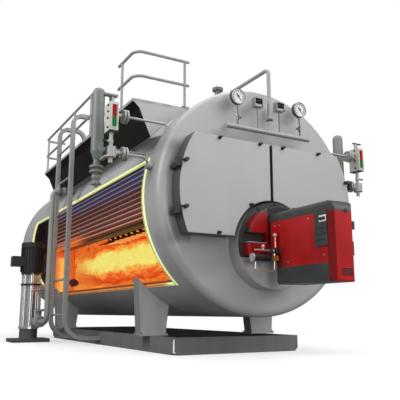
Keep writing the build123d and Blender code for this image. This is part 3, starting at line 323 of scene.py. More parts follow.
def casing_shade(finish):
    """Painted shadow in long streaks on the casing under the walkway, and the dark seam behind the front
    plate.
    """
    skirt_slope, skirt_low_z = 0.243, 2.606
    streak = finish.grain(1.0, 4.0, finish.stretch((9.0, 0.7, 9.0)))
    left = finish.x < -0.3
    open_side = finish.y.ramp(0.36, 0.44)
    rise = finish.z - finish.y.or_less(0.4) * skirt_slope - skirt_low_z
    band = rise.ramp(-0.34, -0.10) * (1 - rise.ramp(0.0, 0.03) * (1 - open_side)) * left
    # painted shadow of the walkway, in long streaks, on the casing under it
    below = band * finish.y.ramp(-0.29, -0.20) * finish.y.ramp(5.2, 4.6) * (0.66 + streak * 0.45)
    seam = finish.y.ramp(-0.225, -0.255) * finish.z.ramp(2.50, 2.66) * left * 0.75
    return below.or_more(seam), tone(38, 38, 39)


def valve_shade(finish):
    """The safety valve is a darker cast grey."""
    return finish.z > 3.2, tone(104, 104, 104)


def shell_shade(finish):
    """Firelight on the shell's cut edge at the foot of the window."""
    return (finish.z < 1.06) * (finish.x < -0.9) * finish.y.ramp(-0.05, 0.2), tone(160, 86, 34)


def housing_foot_shade(finish):
    """Painted shade on the underside and low edge of the water gauges' housings."""
    return finish.z < glass_low_z + 0.0085, tone(52, 52, 50)


def collar_shade(finish):
    """The dark union at the foot of the riser, and painted shade on the undersides."""
    union = finish.within((-0.05, -0.82, manifold_z + 0.142), (0.06, -0.70, manifold_z + 0.172))
    # painted shade on the undersides
    under = finish.facing()[2].ramp(0.0, -0.9) * 0.4
    return under.or_more(union * 0.85), tone(44, 44, 44)


def post_foot(finish):
    """The dark base plate of the rail's inner post."""
    return finish.within((-0.70, None, None), (-0.45, 0.60, deck_z + 0.026)), tone(46, 46, 46)


def switch_stems(finish):
    """The switches' darker stems."""
    return finish.z < manifold_z + 0.291, tone(126, 126, 128)


grey_casing = painted("casing_grey", tone(172, 172, 173), 0.40, 0.03)
grey_flank = painted("casing_flank_grey", tone(172, 172, 173), 0.40, 0.03, shade=casing_shade)
grey_front = painted("front_grey", tone(170, 170, 170), 0.38, 0.02, shade=plate_shade)
grey_door = painted("door_grey", tone(172, 172, 172), 0.40, 0.012, shade=door_side_shade)
grey_leg = painted("leg_grey", tone(178, 178, 178), 0.5, 0.05, shade=leg_side_shade)
grey_skid = painted("skid_grey", tone(110, 109, 107), 0.55, 0.08, 0.3)
grey_valve = painted("valve_grey", tone(172, 172, 173), 0.40, 0.03, shade=valve_shade)
grey_rail = painted("rail_grey", tone(150, 150, 150), 0.3, 0.04, shade=post_foot)
grey_ladder = painted("ladder_grey", tone(152, 152, 152), 0.4, 0.05)
grey_pipe = painted("pipe_grey", tone(164, 164, 164), 0.26, 0.04, shade=collar_shade)
grey_feed = painted("feed_grey", tone(150, 150, 148), 0.35, 0.05)
grey_switch = painted("switch_grey", tone(156, 158, 156), 0.45, 0.03, shade=switch_stems)
green_level = painted("level_green", tone(122, 127, 124), 0.42, 0.12)
pale_housing = painted("gauge_housing_pale", tone(206, 205, 194), 0.42, 0.03, shade=housing_foot_shade)
black_fitting = painted("fitting_black", tone(32, 32, 33), 0.5, 0.1)
black_motor = painted("motor_black", tone(30, 31, 32), 0.6, 0.1, 0.2)
# black for soot in the tube bores and for painted shade on the plates between the furnace waves
black_soot_and_shade = painted("soot_and_shade_black", tone(12, 9, 9), 0.9, 0.1, 0.0)
dark_shell = painted("shell_dark", tone(52, 52, 60), 0.6, 0.12, shade=shell_shade)
grey_bolt = painted("bolt_grey", tone(120, 120, 120), 0.4, 0.08)
rolled_steel = bare_metal("rolled_steel", tone(150, 144, 146), 0.45)
white_face = plain("dial_white", tone(226, 226, 225))
black_ink = plain("ink_black", tone(20, 20, 20))
red_glass = plain("glass_red", tone(168, 6, 14), 0.4, shine=0.1)
green_glass = plain("glass_green", tone(18, 118, 48), 0.4, shine=0.1)
dark_glass = plain("glass_dark", tone(14, 15, 14), 0.6, shine=0.05)
lit_digits = plain("display_digits", tone(92, 94, 86), 0.5, shine=0.1)
silver = plain("silver", tone(214, 214, 216), 0.3, 0.8)


# Wool, board and the burner's colours

def wool():
    """Pale mineral wool with short fibres, with painted firelight at the window's foot and a dark seam in
    front; a faint painted glow keeps it bright.
    """
    finish = Finish("mineral_wool")
    fibre = finish.grain(90.0, 5.0)
    cloud = finish.grain(9.0, 3.0)
    base = finish.mix(fibre * 0.6 + cloud * 0.4, tone(222, 236, 134), tone(250, 255, 196))
    lit = (finish.z < 1.04) * (finish.x < -0.9) * finish.y.ramp(-0.12, 0.25)
    base = finish.mix(lit, base, finish.mix(cloud, tone(176, 104, 44), tone(206, 136, 66)))
    seam = (finish.y > -0.153) * (finish.y < -0.1345)
    base = finish.mix(seam, base, tone(34, 32, 30))
    # painted light: the wool glows faintly with its own colour
    return finish.done(
        Base_Color=base, Roughness=0.95, Normal=finish.relief(fibre, 0.006, 0.8),
        Emission_Color=base, Emission_Strength=0.5)


def board():
    """Off-white insulating board with faint pits."""
    finish = Finish("lining_board")
    pits = finish.cells(60.0)
    base = finish.mix(pits.ramp(0.0, 0.5), tone(150, 146, 136), tone(214, 210, 200))
    return finish.done(Base_Color=base, Roughness=0.9, Normal=finish.relief(pits, 0.002, 0.5))


def red_paint(name, parts):
    """Gloss red. parts takes the finish and gives pairs of a mask and the colour that shows there."""
    finish = Finish(name)
    cloud = finish.grain(2.5, 3.0)
    speck = finish.grain(220.0, 2.0)
    base = finish.mix(cloud.ramp(0.3, 0.7), tone(156, 16, 18), tone(182, 26, 28))
    for mask, colour in parts(finish):
        base = finish.mix(mask, base, colour)
    return finish.done(
        Base_Color=base, Roughness=0.34 + (speck - 0.5) * 0.1, Specular_IOR_Level=0.3,
        Normal=finish.relief(speck, 0.0003, 0.3))


def head_parts(finish):
    """The head's deep red, its black hood and left frame, and painted shade in the gap beside the housing.
    """
    hood = (finish.z - finish.x * 0.17) > 1.645
    left_frame = (finish.x < -0.413) * (finish.z > 1.238)
    gap_shade = (finish.x > housing_side_x - 0.025) * (finish.z > 1.24)
    return [(1.0, tone(142, 8, 12)), (hood, tone(66, 68, 68)), (left_frame, tone(34, 38, 38)),
            (gap_shade, tone(30, 22, 24))]


def cap_chamfer_shade(finish):
    """Painted shade: a deeper red on the cap's chamfers and sides."""
    return [((abs(finish.facing()[0]) > 0.4) * (finish.y < -1.884), tone(112, 4, 8))]


def housing_parts(finish):
    """A deeper red low on the housing beside the fuel valves, darker towards the bottom, and painted shade
    at its rear end by the head.
    """
    low = finish.z.ramp(1.30, 1.02) * finish.y.ramp(-1.34, -1.10)
    return [(low * 0.8, tone(108, 4, 12)), (finish.y > -0.945, tone(40, 14, 16))]


def black_plastic():
    """Grained dark grey plastic."""
    finish = Finish("burner_black")
    pits = finish.cells(260.0)
    base = finish.mix(finish.grain(3.0, 3.0).ramp(0.3, 0.7), tone(48, 52, 50), tone(64, 68, 66))
    return finish.done(
        Base_Color=base, Roughness=0.34 + (pits - 0.5) * 0.15, Normal=finish.relief(pits, 0.0005, 0.4))


# Steel that the fire lights

def tube_metal():
    """Tubes lavender at the top and brown-pink in the middle, with painted firelight in orange-red near the
    fire; they glow with painted firelight, with a painted highlight on their upper left over a shaded copy
    of the colour.
    """
    finish = Finish("tube_steel")
    along = finish.grain(1.0, 4.0, finish.stretch((14.0, 0.9, 14.0)))
    height = (finish.z - 1.70) / 0.80 + (along - 0.5) * 0.4 - finish.y.ramp(1.5, 5.5) * 0.12
    colour = finish.mix(height.ramp(-0.05, 0.22), tone(236, 130, 84), tone(196, 138, 126))
    colour = finish.mix(height.ramp(0.55, 0.85), colour, tone(178, 172, 214))
    colour = finish.mix(finish.y.ramp(1.05, 0.95) * 0.8, colour, tone(48, 44, 74))
    sooted = (finish.z < 1.812) * (finish.x > -0.80) * 0.8
    colour = finish.mix(sooted, colour, tone(58, 30, 26))
    # painted firelight near the reversal chamber, low in the bank
    painted_firelight = finish.y.ramp(3.4, 4.6) * finish.z.ramp(1.90, 1.80)
    colour = finish.mix(painted_firelight, colour, tone(255, 128, 48))
    scale = finish.grain(30.0, 4.0)
    colour = finish.mix(scale.ramp(0.5, 0.8) * 0.4, colour, tone(88, 66, 68))
    # painted highlight on each tube's upper left over a painted-shade copy of the colour, and a painted glow
    # of firelight
    nx, _, nz = finish.facing()
    lit = (nz * 0.75 - nx * 0.66).ramp(0.40, 1.0)
    glow = lit.or_more(painted_firelight) + 0.03
    shaded_copy = finish.mix(0.62, colour, tone(18, 12, 18))
    return finish.done(
        Base_Color=finish.mix(lit, shaded_copy, colour), Metallic=0.25, Roughness=0.38 + scale * 0.15,
        Emission_Color=finish.mix(glow, black, colour), Emission_Strength=0.55,
        Normal=finish.relief(scale, 0.001, 0.4))


def fire_on(finish, low=(198, 62, 20), middle=(238, 118, 38), high=(250, 186, 92)):
    """Firelight on a wall: red at the foot of the tongues, orange, then pale orange."""
    tongues = finish.grain(1.0, 5.0, finish.bent(3.0, (0.5, 0.9, 0.5), (6.0, 1.6, 8.0)), 0.6)
    fire = finish.mix(tongues.ramp(0.3, 0.5), tone(*low), tone(*middle))
    return finish.mix(tongues.ramp(0.5, 0.68), fire, tone(*high))


def soot_spot(finish, x, z):
    """A round patch of soot low on the rear walls."""
    edge = (finish.grain(9.0, 4.0) - 0.5) * 1.2
    return (finish.from_line(x, z, 0.105, 0.088) + edge).ramp(1.15, 0.7)


def scaled_steel(finish, lit, fire):
    """Closes a finish of dark scale that shows firelight where lit is 1."""
    scale = finish.grain(40.0, 4.0)
    return finish.done(
        Base_Color=finish.mix(scale, tone(18, 12, 12), tone(42, 30, 28)), Roughness=0.8,
        Emission_Color=finish.mix(lit, black, fire), Emission_Strength=1.0,
        Normal=finish.relief(scale, 0.002, 0.5))


def furnace_metal():
    """Painted firelight inside the furnace, darker on the waves' slopes, with streaks low down; the valleys
    at the cut get no firelight and show as dark teeth.
    """
    finish = Finish("furnace_steel")
    nx, ny, nz = finish.facing()
    rise = finish.z - furnace_z
    inward = (nx * finish.x + nz * rise) < -0.05
    fire = fire_on(finish)
    fire = finish.mix((rise * 1.6).ramp(0.25, 0.75) * 0.8, fire, tone(250, 176, 90))
    fire = finish.mix(rise.ramp(-0.42, -0.56) * 0.7, fire, tone(246, 170, 62))
    fire = finish.mix(abs(ny).ramp(0.15, 0.6) * 0.4, fire, tone(224, 104, 36))
    slant = (finish.y - finish.x * 1.4 + finish.grain(2.0, 3.0) * 0.3) * 42.0
    streaks = slant.sine().ramp(-0.4, 0.5) * finish.y.ramp(1.2, 1.8) * (rise < -0.30)
    fire = finish.mix(streaks * 0.65, fire, tone(150, 62, 14))
    depth = (finish.x - furnace_cut_x) / 0.16
    radius = finish.from_line(0.0, furnace_z).root()
    tooth = (radius < furnace_valley + 0.052 - depth * 0.052) * (rise > 0.0)
    return scaled_steel(finish, inward * (1 - tooth) * finish.y.ramp(0.3, 0.8), fire)


def chamber_metal():
    """Orange firelight on every inner face of the reversal chamber."""
    finish = Finish("chamber_steel")
    fire = fire_on(finish, (186, 66, 24), (226, 98, 36), (240, 134, 52))
    fire = finish.mix((finish.z - chamber_z).ramp(-0.1, -0.5) * 0.6, fire, tone(246, 160, 60))
    fire = finish.mix(soot_spot(finish, -0.42, 1.102), fire, tone(50, 14, 6))
    inside = (finish.from_line(0.0, chamber_z).root() < chamber_radius) * finish.within(
        (chamber_cut_x, 4.7, None), (None, chamber_back_y, None))
    return scaled_steel(finish, inside, fire)


def tube_plate_metal():
    """Dark blue-grey primer with soot; the rear plate's foot takes firelight on its window side."""
    finish = Finish("tube_plate_steel")
    soot = finish.grain(6.0, 5.0)
    base = finish.mix(soot.ramp(0.3, 0.7), tone(46, 44, 58), tone(92, 88, 112))
    lit = finish.within((-0.83, 5.8, None), (-0.30, 5.886, 1.97))
    side = (finish.x + soot * 0.06).ramp(-0.74, -0.60)
    fire = finish.mix(side, tone(232, 108, 34), tone(246, 176, 70))
    fire = finish.mix(finish.x.ramp(-0.56, -0.50), fire, tone(214, 92, 28))
    fire = finish.mix(soot_spot(finish, -0.377, 1.11), fire, tone(50, 14, 6))
    fire = finish.mix((finish.z + soot * 0.05).ramp(1.62, 1.70), fire, tone(212, 84, 24))
    return finish.done(
        Base_Color=base, Roughness=0.65, Emission_Color=finish.mix(lit, black, fire),
        Emission_Strength=1.0, Normal=finish.relief(soot, 0.002, 0.4))


# Pieces whose parts have finishes of their own, told apart by place

def skirt_paint_and_shade():
    """Light end panels, and outer sides painted near black and dull as painted shade."""
    finish = Finish("walkway_skirt")
    cloud = finish.grain(2.5, 4.0)
    pale = finish.mix(cloud, tone(174, 174, 174), tone(188, 188, 188))
    dark = finish.mix(cloud, tone(14, 14, 14), tone(28, 28, 28))
    # the outer sides are painted near black as shade; the end panels keep the pale grey
    base = finish.mix(finish.y < deck_front_y + 0.0045, dark, pale)
    return finish.done(Base_Color=base, Roughness=0.55, Specular_IOR_Level=0.12)


def deck_paint():
    """Chequer plate: raised bars on grey paint."""
    finish = Finish("walkway_deck")
    bands = {"wave_type": "BANDS", "bands_direction": "DIAGONAL"}
    turned = finish.node("ShaderNodeMapping", {}, {
        "Vector": finish.place, "Rotation": (0.0, 0.0, radians(90))})
    bars, cross = [
        finish.node("ShaderNodeTexWave", bands, {"Vector": where, "Scale": 12.0}, "Fac")
        for where in (finish.place, turned)]
    height = bars.ramp(0.7, 0.9) * cross.ramp(0.3, 0.6)
    base = finish.mix(finish.grain(8.0, 4.0).ramp(0.35, 0.7), tone(150, 150, 148), tone(176, 176, 174))
    return finish.done(Base_Color=base, Roughness=0.5, Normal=finish.relief(height, 0.003, 0.8))


def fuel_valve_metal():
    """Black valve and coil, brass block, pale pipes and copper gauges."""
    finish = Finish("fuel_valve")
    line = finish.grain(60.0, 3.0)
    coil_x, low_z, valve_z, gauge_z = -0.272, 1.03, 1.124, 1.187
    gauges = finish.z > gauge_z
    valve = finish.within((coil_x, None, valve_z), (None, None, gauge_z))
    coil = finish.within((-0.484, None, low_z), (coil_x, None, 1.115))
    block = finish.within((-0.26, None, low_z), (-0.17, None, 1.103))
    disc = finish.within((None, None, 1.02), (-0.4975, None, 1.125))
    colour = finish.mix(line, tone(178, 172, 158), tone(214, 208, 190))
    brass = finish.mix(line, tone(160, 120, 52), tone(208, 166, 84))
    for mask, shown in (
            (gauges, tone(216, 172, 156)), (block, brass), (coil, tone(24, 22, 22)),
            (valve, tone(34, 34, 34)), (disc, tone(206, 204, 210))):
        colour = finish.mix(mask, colour, shown)
    dull = coil + valve
    return finish.done(
        Base_Color=colour, Metallic=0.7 * (1 - dull), Roughness=0.3 + dull * 0.2,
        Normal=finish.relief(line, 0.0006, 0.4))


def pump_metal():
    """Bright stack and rods above a dark cast foot, with black collars."""
    finish = Finish("feed_pump")
    line = finish.grain(10.0, 3.0, finish.stretch((1.0, 1.0, 30.0)))
    foot = finish.z < 0.2205
    collar = finish.within((None, None, 0.948), (None, None, 0.979)) + (finish.z > 1.1375)
    colour = finish.mix(line, tone(170, 170, 172), tone(226, 226, 228))
    colour = finish.mix(foot, colour, finish.mix(line, tone(62, 66, 66), tone(92, 96, 96)))
    colour = finish.mix(collar, colour, tone(30, 30, 30))
    return finish.done(
        Base_Color=colour, Metallic=0.9 * (1 - foot) * (1 - collar), Roughness=0.28 + foot * 0.3,
        Normal=finish.relief(line, 0.0004, 0.3))


def gauge_line_paint():
    """Pale painted valves and pipes with painted shade on their undersides; the T handle with its stem and
    the drain lever are black.
    """
    finish = Finish("gauge_line")
    cloud = finish.grain(12.0, 4.0)
    pale = finish.mix(cloud, tone(148, 150, 146), tone(188, 190, 184))
    # painted shade on the undersides
    pale = finish.mix(finish.facing()[2].ramp(0.1, -0.8) * 0.55, pale, tone(60, 62, 60))
    side = abs(finish.x)
    handle = (finish.z > 2.884) + (side > 1.875) * (finish.z > 2.81)
    lever = (side > 1.91) * finish.within((None, None, 2.2), (None, None, 2.5))
    return finish.done(
        Base_Color=finish.mix(handle + lever, pale, tone(28, 28, 28)), Roughness=0.38,
        Normal=finish.relief(cloud, 0.001, 0.3))


def dial_case():
    """Dark bezels and stems, a pale cock on the left dial and a black cock knob on the right one."""
    finish = Finish("dial_case")
    line = finish.grain(40.0, 3.0)
    steel = finish.mix(line, tone(70, 70, 72), tone(120, 120, 122))
    cock = finish.within((None, None, 2.70), (None, None, 2.80)) * (abs(finish.x) > dial_x + 0.013)
    steel = finish.mix(cock * (finish.x < 0.0), steel, tone(196, 196, 196))
    steel = finish.mix(cock * (finish.x > 0.0), steel, tone(22, 22, 22))
    bezel = finish.mix(line, tone(66, 68, 70), tone(104, 106, 108))
    return finish.done(
        Base_Color=finish.mix(finish.z > 2.9, steel, bezel), Metallic=0.5, Roughness=0.35)


pale_wool = wool()
solid_tube_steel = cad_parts["left_fire_tubes"].data.materials[0]
finishes = {
    grey_casing: ["casing_bottom", "casing_right", "rear_plate", "flue_collar", "burner_throat"],
    grey_valve: ["safety_valve"],
    grey_flank: ["casing_left", "casing_top"],
    grey_front: ["front_plate"],
    grey_door: ["left_door", "right_door"],
    grey_leg: ["front_legs", "rear_legs"],
    grey_skid: ["skid_side_beams", "skid_cross_beams"],
    grey_rail: ["front_guard_rail", "side_guard_rail"],
    grey_ladder: ["ladder"],
    grey_pipe: ["gauge_manifold"],
    grey_feed: ["feed_pipe"],
    grey_switch: ["pressure_switches"],
    green_level: ["left_level_chamber", "right_level_chamber"],
    pale_housing: ["left_level_gauge", "right_level_gauge"],
    black_fitting: ["left_door_fittings", "right_door_fittings", "hinge_brackets", "burner_flange"],
    black_motor: ["feed_motor"],
    dark_shell: ["pressure_shell"],
    pale_wool: ["insulation"],
    board(): ["left_door_lining", "right_door_lining"],
    red_paint("burner_head_red", head_parts): ["burner_head"],
    red_paint("burner_red", housing_parts): ["burner_housing"],
    red_paint("burner_cap_red", cap_chamfer_shade): ["burner_front_cap"],
    black_plastic(): ["burner_covers", "control_panel"],
    tube_metal(): ["left_fire_tubes", "right_fire_tubes", "middle_fire_tubes"],
    furnace_metal(): ["furnace_tube"],
    chamber_metal(): ["reversal_chamber"],
    tube_plate_metal(): ["front_tube_plate", "rear_tube_plate", "chamber_stay"],
    skirt_paint_and_shade(): ["walkway_skirt"],
    deck_paint(): ["walkway_deck"],
    fuel_valve_metal(): ["fuel_pump"],
    pump_metal(): ["feed_pump"],
    gauge_line_paint(): ["left_gauge_piping", "right_gauge_piping"],
    dial_case(): ["pressure_gauges"],
}
for material, nodes in finishes.items():
    for node in nodes:
        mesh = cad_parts[node].data
        mesh.materials.clear()
        mesh.materials.append(material)


# Shapes for the added pieces

def turn_to(axis):
    """The turn that brings +Z to an axis."""
    return Vector((0, 0, 1)).rotation_difference(Vector(axis)).to_matrix().to_4x4()


def on_casing(degrees, y, reach):
    """A point round the boiler's axis, counted from +X over the top."""
    angle = radians(degrees)
    return reach * cos(angle), y, axis_z + reach * sin(angle)


def add_rod(mesh, start, end, radius, far_radius=None, sides=20):
    """A round bar or cone between two points."""
    start, end = Vector(start), Vector(end)
    matrix = Matrix.Translation((start + end) / 2) @ turn_to(end - start)
    bmesh.ops.create_cone(
        mesh, cap_ends=True, segments=sides, radius1=radius,
        radius2=radius if far_radius is None else far_radius, depth=(end - start).length, matrix=matrix)


def add_block(mesh, low, high, edge=0.0):
    """A box between two corners, with small bevels."""
    low, high = Vector(low), Vector(high)
    size = Matrix.Diagonal((*(high - low), 1.0))
    made = bmesh.ops.create_cube(mesh, size=1.0, matrix=Matrix.Translation((low + high) / 2) @ size)
    if edge:
        edges = list({edge for vertex in made["verts"] for edge in vertex.link_edges})
        bmesh.ops.bevel(
            mesh, geom=edges, offset=edge, segments=2, profile=0.5, affect="EDGES", material=-1)


def add_plate(mesh, outline, depth):
    """A flat outline drawn out into a plate."""
    face = mesh.faces.new([mesh.verts.new(corner) for corner in outline])
    pulled = bmesh.ops.extrude_face_region(mesh, geom=[face])["geom"]
    moved = [item for item in pulled if isinstance(item, bmesh.types.BMVert)]
    bmesh.ops.translate(mesh, vec=depth, verts=moved)


def add_bolt(mesh, seat, axis, width):
    """A washer, a hexagon head and the stud's end, standing on seat along axis."""
    seat, axis = Vector(seat), Vector(axis).normalized() * width
    add_rod(mesh, seat, seat + axis * 0.14, width * 0.68, sides=14)
    add_rod(mesh, seat + axis * 0.14, seat + axis * 0.62, width * 0.5, sides=6)
    add_rod(mesh, seat + axis * 0.62, seat + axis * 0.8, width * 0.26, width * 0.2, sides=10)


def add_bolt_ring(mesh, centre, axis, radius, count, width, turn=0.0):
    """Bolts round a flange; axis is the way the heads point."""
    centre, tilt = Vector(centre), turn_to(axis)
    for number in range(count):
        angle = turn + 2 * pi * number / count
        add_bolt(mesh, centre + tilt @ Vector((radius * cos(angle), radius * sin(angle), 0.0)), axis, width)


def make_piece(name, mesh, material, sharp=35.0):
    """Closes a mesh into a named piece that rides on the boiler."""
    bmesh.ops.recalc_face_normals(mesh, faces=mesh.faces)
    data = bpy.data.meshes.new(name)
    mesh.to_mesh(data)
    mesh.free()
    data.materials.append(material)
    data.shade_smooth()
    data.set_sharp_from_angle(angle=radians(sharp))
    thing = bpy.data.objects.new(name, data)
    bpy.context.scene.collection.objects.link(thing)
    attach(thing, "root")


# Fire in the furnace

flame_z = 1.41
flame_start = -0.32
flame_length = 5.95
tongue_count = 64


def flame_finish():
    """Pale yellow heart, orange body and red fringe, in ragged tongues drawn out along the furnace."""
    finish = Finish("flame")
    tongues = finish.grain(1.0, 6.0, finish.bent(4.0, (0.3, 0.8, 0.3), (7.0, 2.2, 10.0)), 0.62)
    fine = finish.grain(1.0, 4.0, finish.stretch((26.0, 7.0, 34.0)), 0.6)
    away = abs(finish.z - flame_z) / 0.36
    end = finish.y.ramp(4.2, 5.6) * 0.32
    heat = 1.0 - away - end + (tongues - 0.5) * 1.1 + (fine - 0.5) * 0.45
    colour = finish.mix(heat.ramp(-0.05, 0.22), tone(204, 62, 22), tone(230, 92, 34))
    colour = finish.mix(heat.ramp(0.22, 0.42), colour, tone(246, 160, 62))
    colour = finish.mix(heat.ramp(0.42, 0.60), colour, tone(240, 222, 108))
    heart = (fine * 0.6 + tongues * 0.4).ramp(0.5, 0.62) * heat.ramp(0.5, 0.7) * 0.5
    colour = finish.mix(heart, colour, tone(250, 246, 170))
    rear = finish.mix(tongues, tone(206, 84, 28), tone(240, 156, 64))
    colour = finish.mix(finish.y.ramp(4.6, 5.4) * 0.7, colour, rear)
    return finish.done(Base_Color=black, Roughness=1.0, Emission_Color=colour, Emission_Strength=1.0)


def flame_width(share):
    """Half the jet's width at a share of its length."""
    return 0.16 + 0.18 * min(share * 3.0, 1.0) + 0.05 * max(share - 0.8, 0.0)


def add_jet(mesh):
    """A ragged jet from the burner's mouth into the reversal chamber."""
    rings = 110
    mouth = Vector((0.0, flame_start, furnace_z))
    ring = bmesh.ops.create_circle(
        mesh, cap_ends=True, segments=56, radius=0.16,
        matrix=Matrix.Translation(mouth) @ Matrix.Rotation(radians(90), 4, "X"))
    face = ring["verts"][0].link_faces[0]
    spokes = [(vertex.co - mouth).normalized() for vertex in face.verts]
    for step in range(1, rings + 1):
        share = step / rings
        y = flame_start + flame_length * share
        lift = (flame_z - furnace_z) * min(share * 3.5, 1.0)
        centre = Vector((-0.10 * max(share - 0.5, 0.0), y, furnace_z + lift))
        face = bmesh.ops.extrude_discrete_faces(mesh, faces=[face])["faces"][0]
        for vertex, spoke in zip(face.verts, spokes):
            place = Vector((spoke.x * 1.1, y * 2.2, spoke.z * 1.1))
            push = noise.noise(place, noise_basis="PERLIN_ORIGINAL") * 0.07
            push += noise.noise(place * 3.1, noise_basis="PERLIN_ORIGINAL") * 0.045
            vertex.co = centre + spoke * min(flame_width(share) + push * min(share * 6.0, 1.0), 0.40)


def add_tongues(mesh):
    """Loose wisps that leave the jet above and below and bend to the rear."""
    for number in range(tongue_count):
        jitter = noise.random_vector()
        share = 0.24 + 0.72 * number / tongue_count
        angle = radians(62 + 22 * jitter.x) * (1 if number % 2 else -1)
        out = Vector((-cos(angle), 0.0, sin(angle)))
        start = Vector((-0.03, flame_start + flame_length * share, flame_z)) + out * flame_width(share) * 0.9
        length = 0.22 + 0.14 * abs(jitter.y)
        tip = start + Vector((0.0, length, 0.0)) + out * (0.05 + 0.05 * abs(jitter.z))
        bend = start + Vector((0.0, length * 0.45, 0.0)) + out * 0.015
        add_rod(mesh, start, bend, 0.03, 0.026, sides=8)
        add_rod(mesh, bend, tip, 0.026, 0.002, sides=8)


def add_flame():
    """The jet with its tongues. The fire is light, so it has no material slot of the boiler."""
    mesh = bmesh.new()
    noise.seed_set(5)
    add_jet(mesh)
    add_tongues(mesh)
    make_piece("flame", mesh, flame_finish(), sharp=80.0)


# Furnace, window and tubes

def add_wave_shadow_plates():
    """Black plates that stand for the shade between the furnace waves, seen as black teeth along the cut,
    and a black band of shade above them.
    """
    mesh = bmesh.new()
    face_x = furnace_cut_x - 0.0005
    half_valley = ((0.018, 0.608), (0.074, 0.656), (0.104, furnace_crest))
    valley = [(-offset, radius) for offset, radius in reversed(half_valley)] + [(0.0, 0.596), *half_valley]
    for wave in range(1, wave_count):
        valley_y = wave_start + wave * wave_pitch
        add_plate(mesh, [
            (face_x, valley_y + offset, furnace_z + sqrt(radius ** 2 - furnace_cut_x ** 2))
            for offset, radius in valley], (-0.006, 0.0, 0.0))
    last_y = wave_start + wave_count * wave_pitch
    add_block(
        mesh, (face_x - 0.0065, wave_start, furnace_z + 0.624),
        (face_x + 0.0001, last_y, furnace_z + 0.662), 0.001)
    make_piece("wave_shadow_plates", mesh, black_soot_and_shade)


def add_window_edge():
    """A thin strip of the wool's facing, folded out over the casing along the window's front edge."""
    mesh = bmesh.new()
    near, far = -0.204, -0.1349
    high, low = 161.5, 227.5
    profile = [
        mesh.verts.new(on_casing(high, y, casing_radius + lift))
        for lift, y in ((0.0003, near), (0.0035, near + 0.004), (0.0025, far - 0.002), (0.0003, far))]
    loop = [mesh.edges.new((start, end)) for start, end in zip(profile, profile[1:] + profile[:1])]
    bmesh.ops.spin(
        mesh, geom=profile + loop, cent=(0.0, 0.0, axis_z), axis=(0.0, -1.0, 0.0),
        angle=radians(low - high), steps=30)
    bmesh.ops.holes_fill(mesh, edges=mesh.edges[:], sides=4)
    make_piece("window_edge", mesh, pale_wool)


def add_inner_tubes():
    """The left bank's hidden columns, deeper in the shell, in the plain steel that the solids bring."""
    mesh = bmesh.new()
    for x, rows in hidden_columns:
        for row in rows:
            z = bank_low_z + row * bank_pitch
            add_rod(mesh, (-x, -0.336, z), (-x, 5.878, z), tube_radius, sides=14)
    make_piece("inner_fire_tubes", mesh, solid_tube_steel)


def add_tube_ends():
    """Rolled ends and dark bores of the tubes on the front tube plate, seen when the doors stand open."""
    rings, bores = bmesh.new(), bmesh.new()
    places = [(-0.54 + 0.18 * column, 2.242 + row * bank_pitch) for column in range(7) for row in range(4)]
    for side in (-1, 1):
        places += [(side * x, bank_low_z + row * bank_pitch) for x, rows in side_columns for row in rows]
    for x, z in places:
        add_rod(
            rings, (x, tube_plate_y - 0.0003, z), (x, tube_plate_y - 0.0055, z),
            tube_radius + 0.0025, tube_radius + 0.0005, sides=16)
        add_rod(bores, (x, tube_plate_y - 0.0056, z), (x, tube_plate_y - 0.0062, z), 0.0245, sides=16)
    make_piece("tube_ends", rings, rolled_steel)
    make_piece("tube_bores", bores, black_soot_and_shade)


# Dial gauges, pressure switches and water gauges

def add_dials():
    """White faces sunk in the two dial cases, with 31 ticks, a needle and its hub."""
    faces, ink = bmesh.new(), bmesh.new()
    face_y, z = manifold_y - 0.018, manifold_z + 0.374
    spaces, outer, needle_turn = 30, 0.080, radians(-52)
    needle = Vector((cos(needle_turn), 0.0, sin(needle_turn)))
    for x in (-dial_x, dial_x):
        add_rod(faces, (x, face_y, z), (x, face_y - 0.001, z), 0.0888, sides=48)
        for tick in range(spaces + 1):
            angle = radians(225 - 270 * tick / spaces)
            inner, width = (0.068, 0.0032) if tick % 3 else (0.056, 0.0092)
            along = Vector((cos(angle), 0.0, sin(angle)))
            across = Vector((-sin(angle), 0.0, cos(angle)))
            centre = Vector((x, face_y - 0.0012, z)) + along * (inner + outer) / 2
            turn = Matrix((along, across, Vector((0, -1, 0)))).transposed().to_4x4()
            size = Matrix.Diagonal((outer - inner, width, 0.0008, 1.0))
            bmesh.ops.create_cube(ink, size=1.0, matrix=Matrix.Translation(centre) @ turn @ size)
        hub = Vector((x, face_y - 0.004, z))
        add_rod(ink, hub - needle * 0.036, hub + needle * 0.058, 0.0075, 0.002, sides=8)
        add_rod(ink, (x, face_y - 0.001, z), (x, face_y - 0.007, z), 0.0125, sides=16)
    make_piece("dial_faces", faces, white_face)
    make_piece("dial_marks", ink, black_ink)


def add_switch_windows():
    """Dark windows with faint bars, and a small red lamp, on the two pressure switches."""
    glass, red, digits = bmesh.new(), bmesh.new(), bmesh.new()
    window_y, lamp_y, z = manifold_y - 0.034, manifold_y - 0.0423, manifold_z + 0.35
    bars = ((-0.026, 0.016, 0.022, 0.008), (0.010, 0.016, 0.022, 0.008), (-0.030, 0.000, 0.008, 0.018),
            (0.010, -0.002, 0.020, 0.007))
    for x in (-0.178, 0.147):
        add_block(glass, (x - 0.0495, window_y - 0.0045, z - 0.030),
                  (x + 0.0495, window_y - 0.0003, z + 0.046), 0.002)
        add_block(red, (x + 0.036, lamp_y - 0.0022, z - 0.054), (x + 0.057, lamp_y, z - 0.034))
        for left, low, width, height in bars:
            add_block(digits, (x + left, window_y - 0.0055, z + low),
                      (x + left + width, window_y - 0.0046, z + low + height))
    make_piece("switch_windows", glass, dark_glass)
    make_piece("switch_lamps", red, red_glass)
    make_piece("switch_digits", digits, lit_digits)


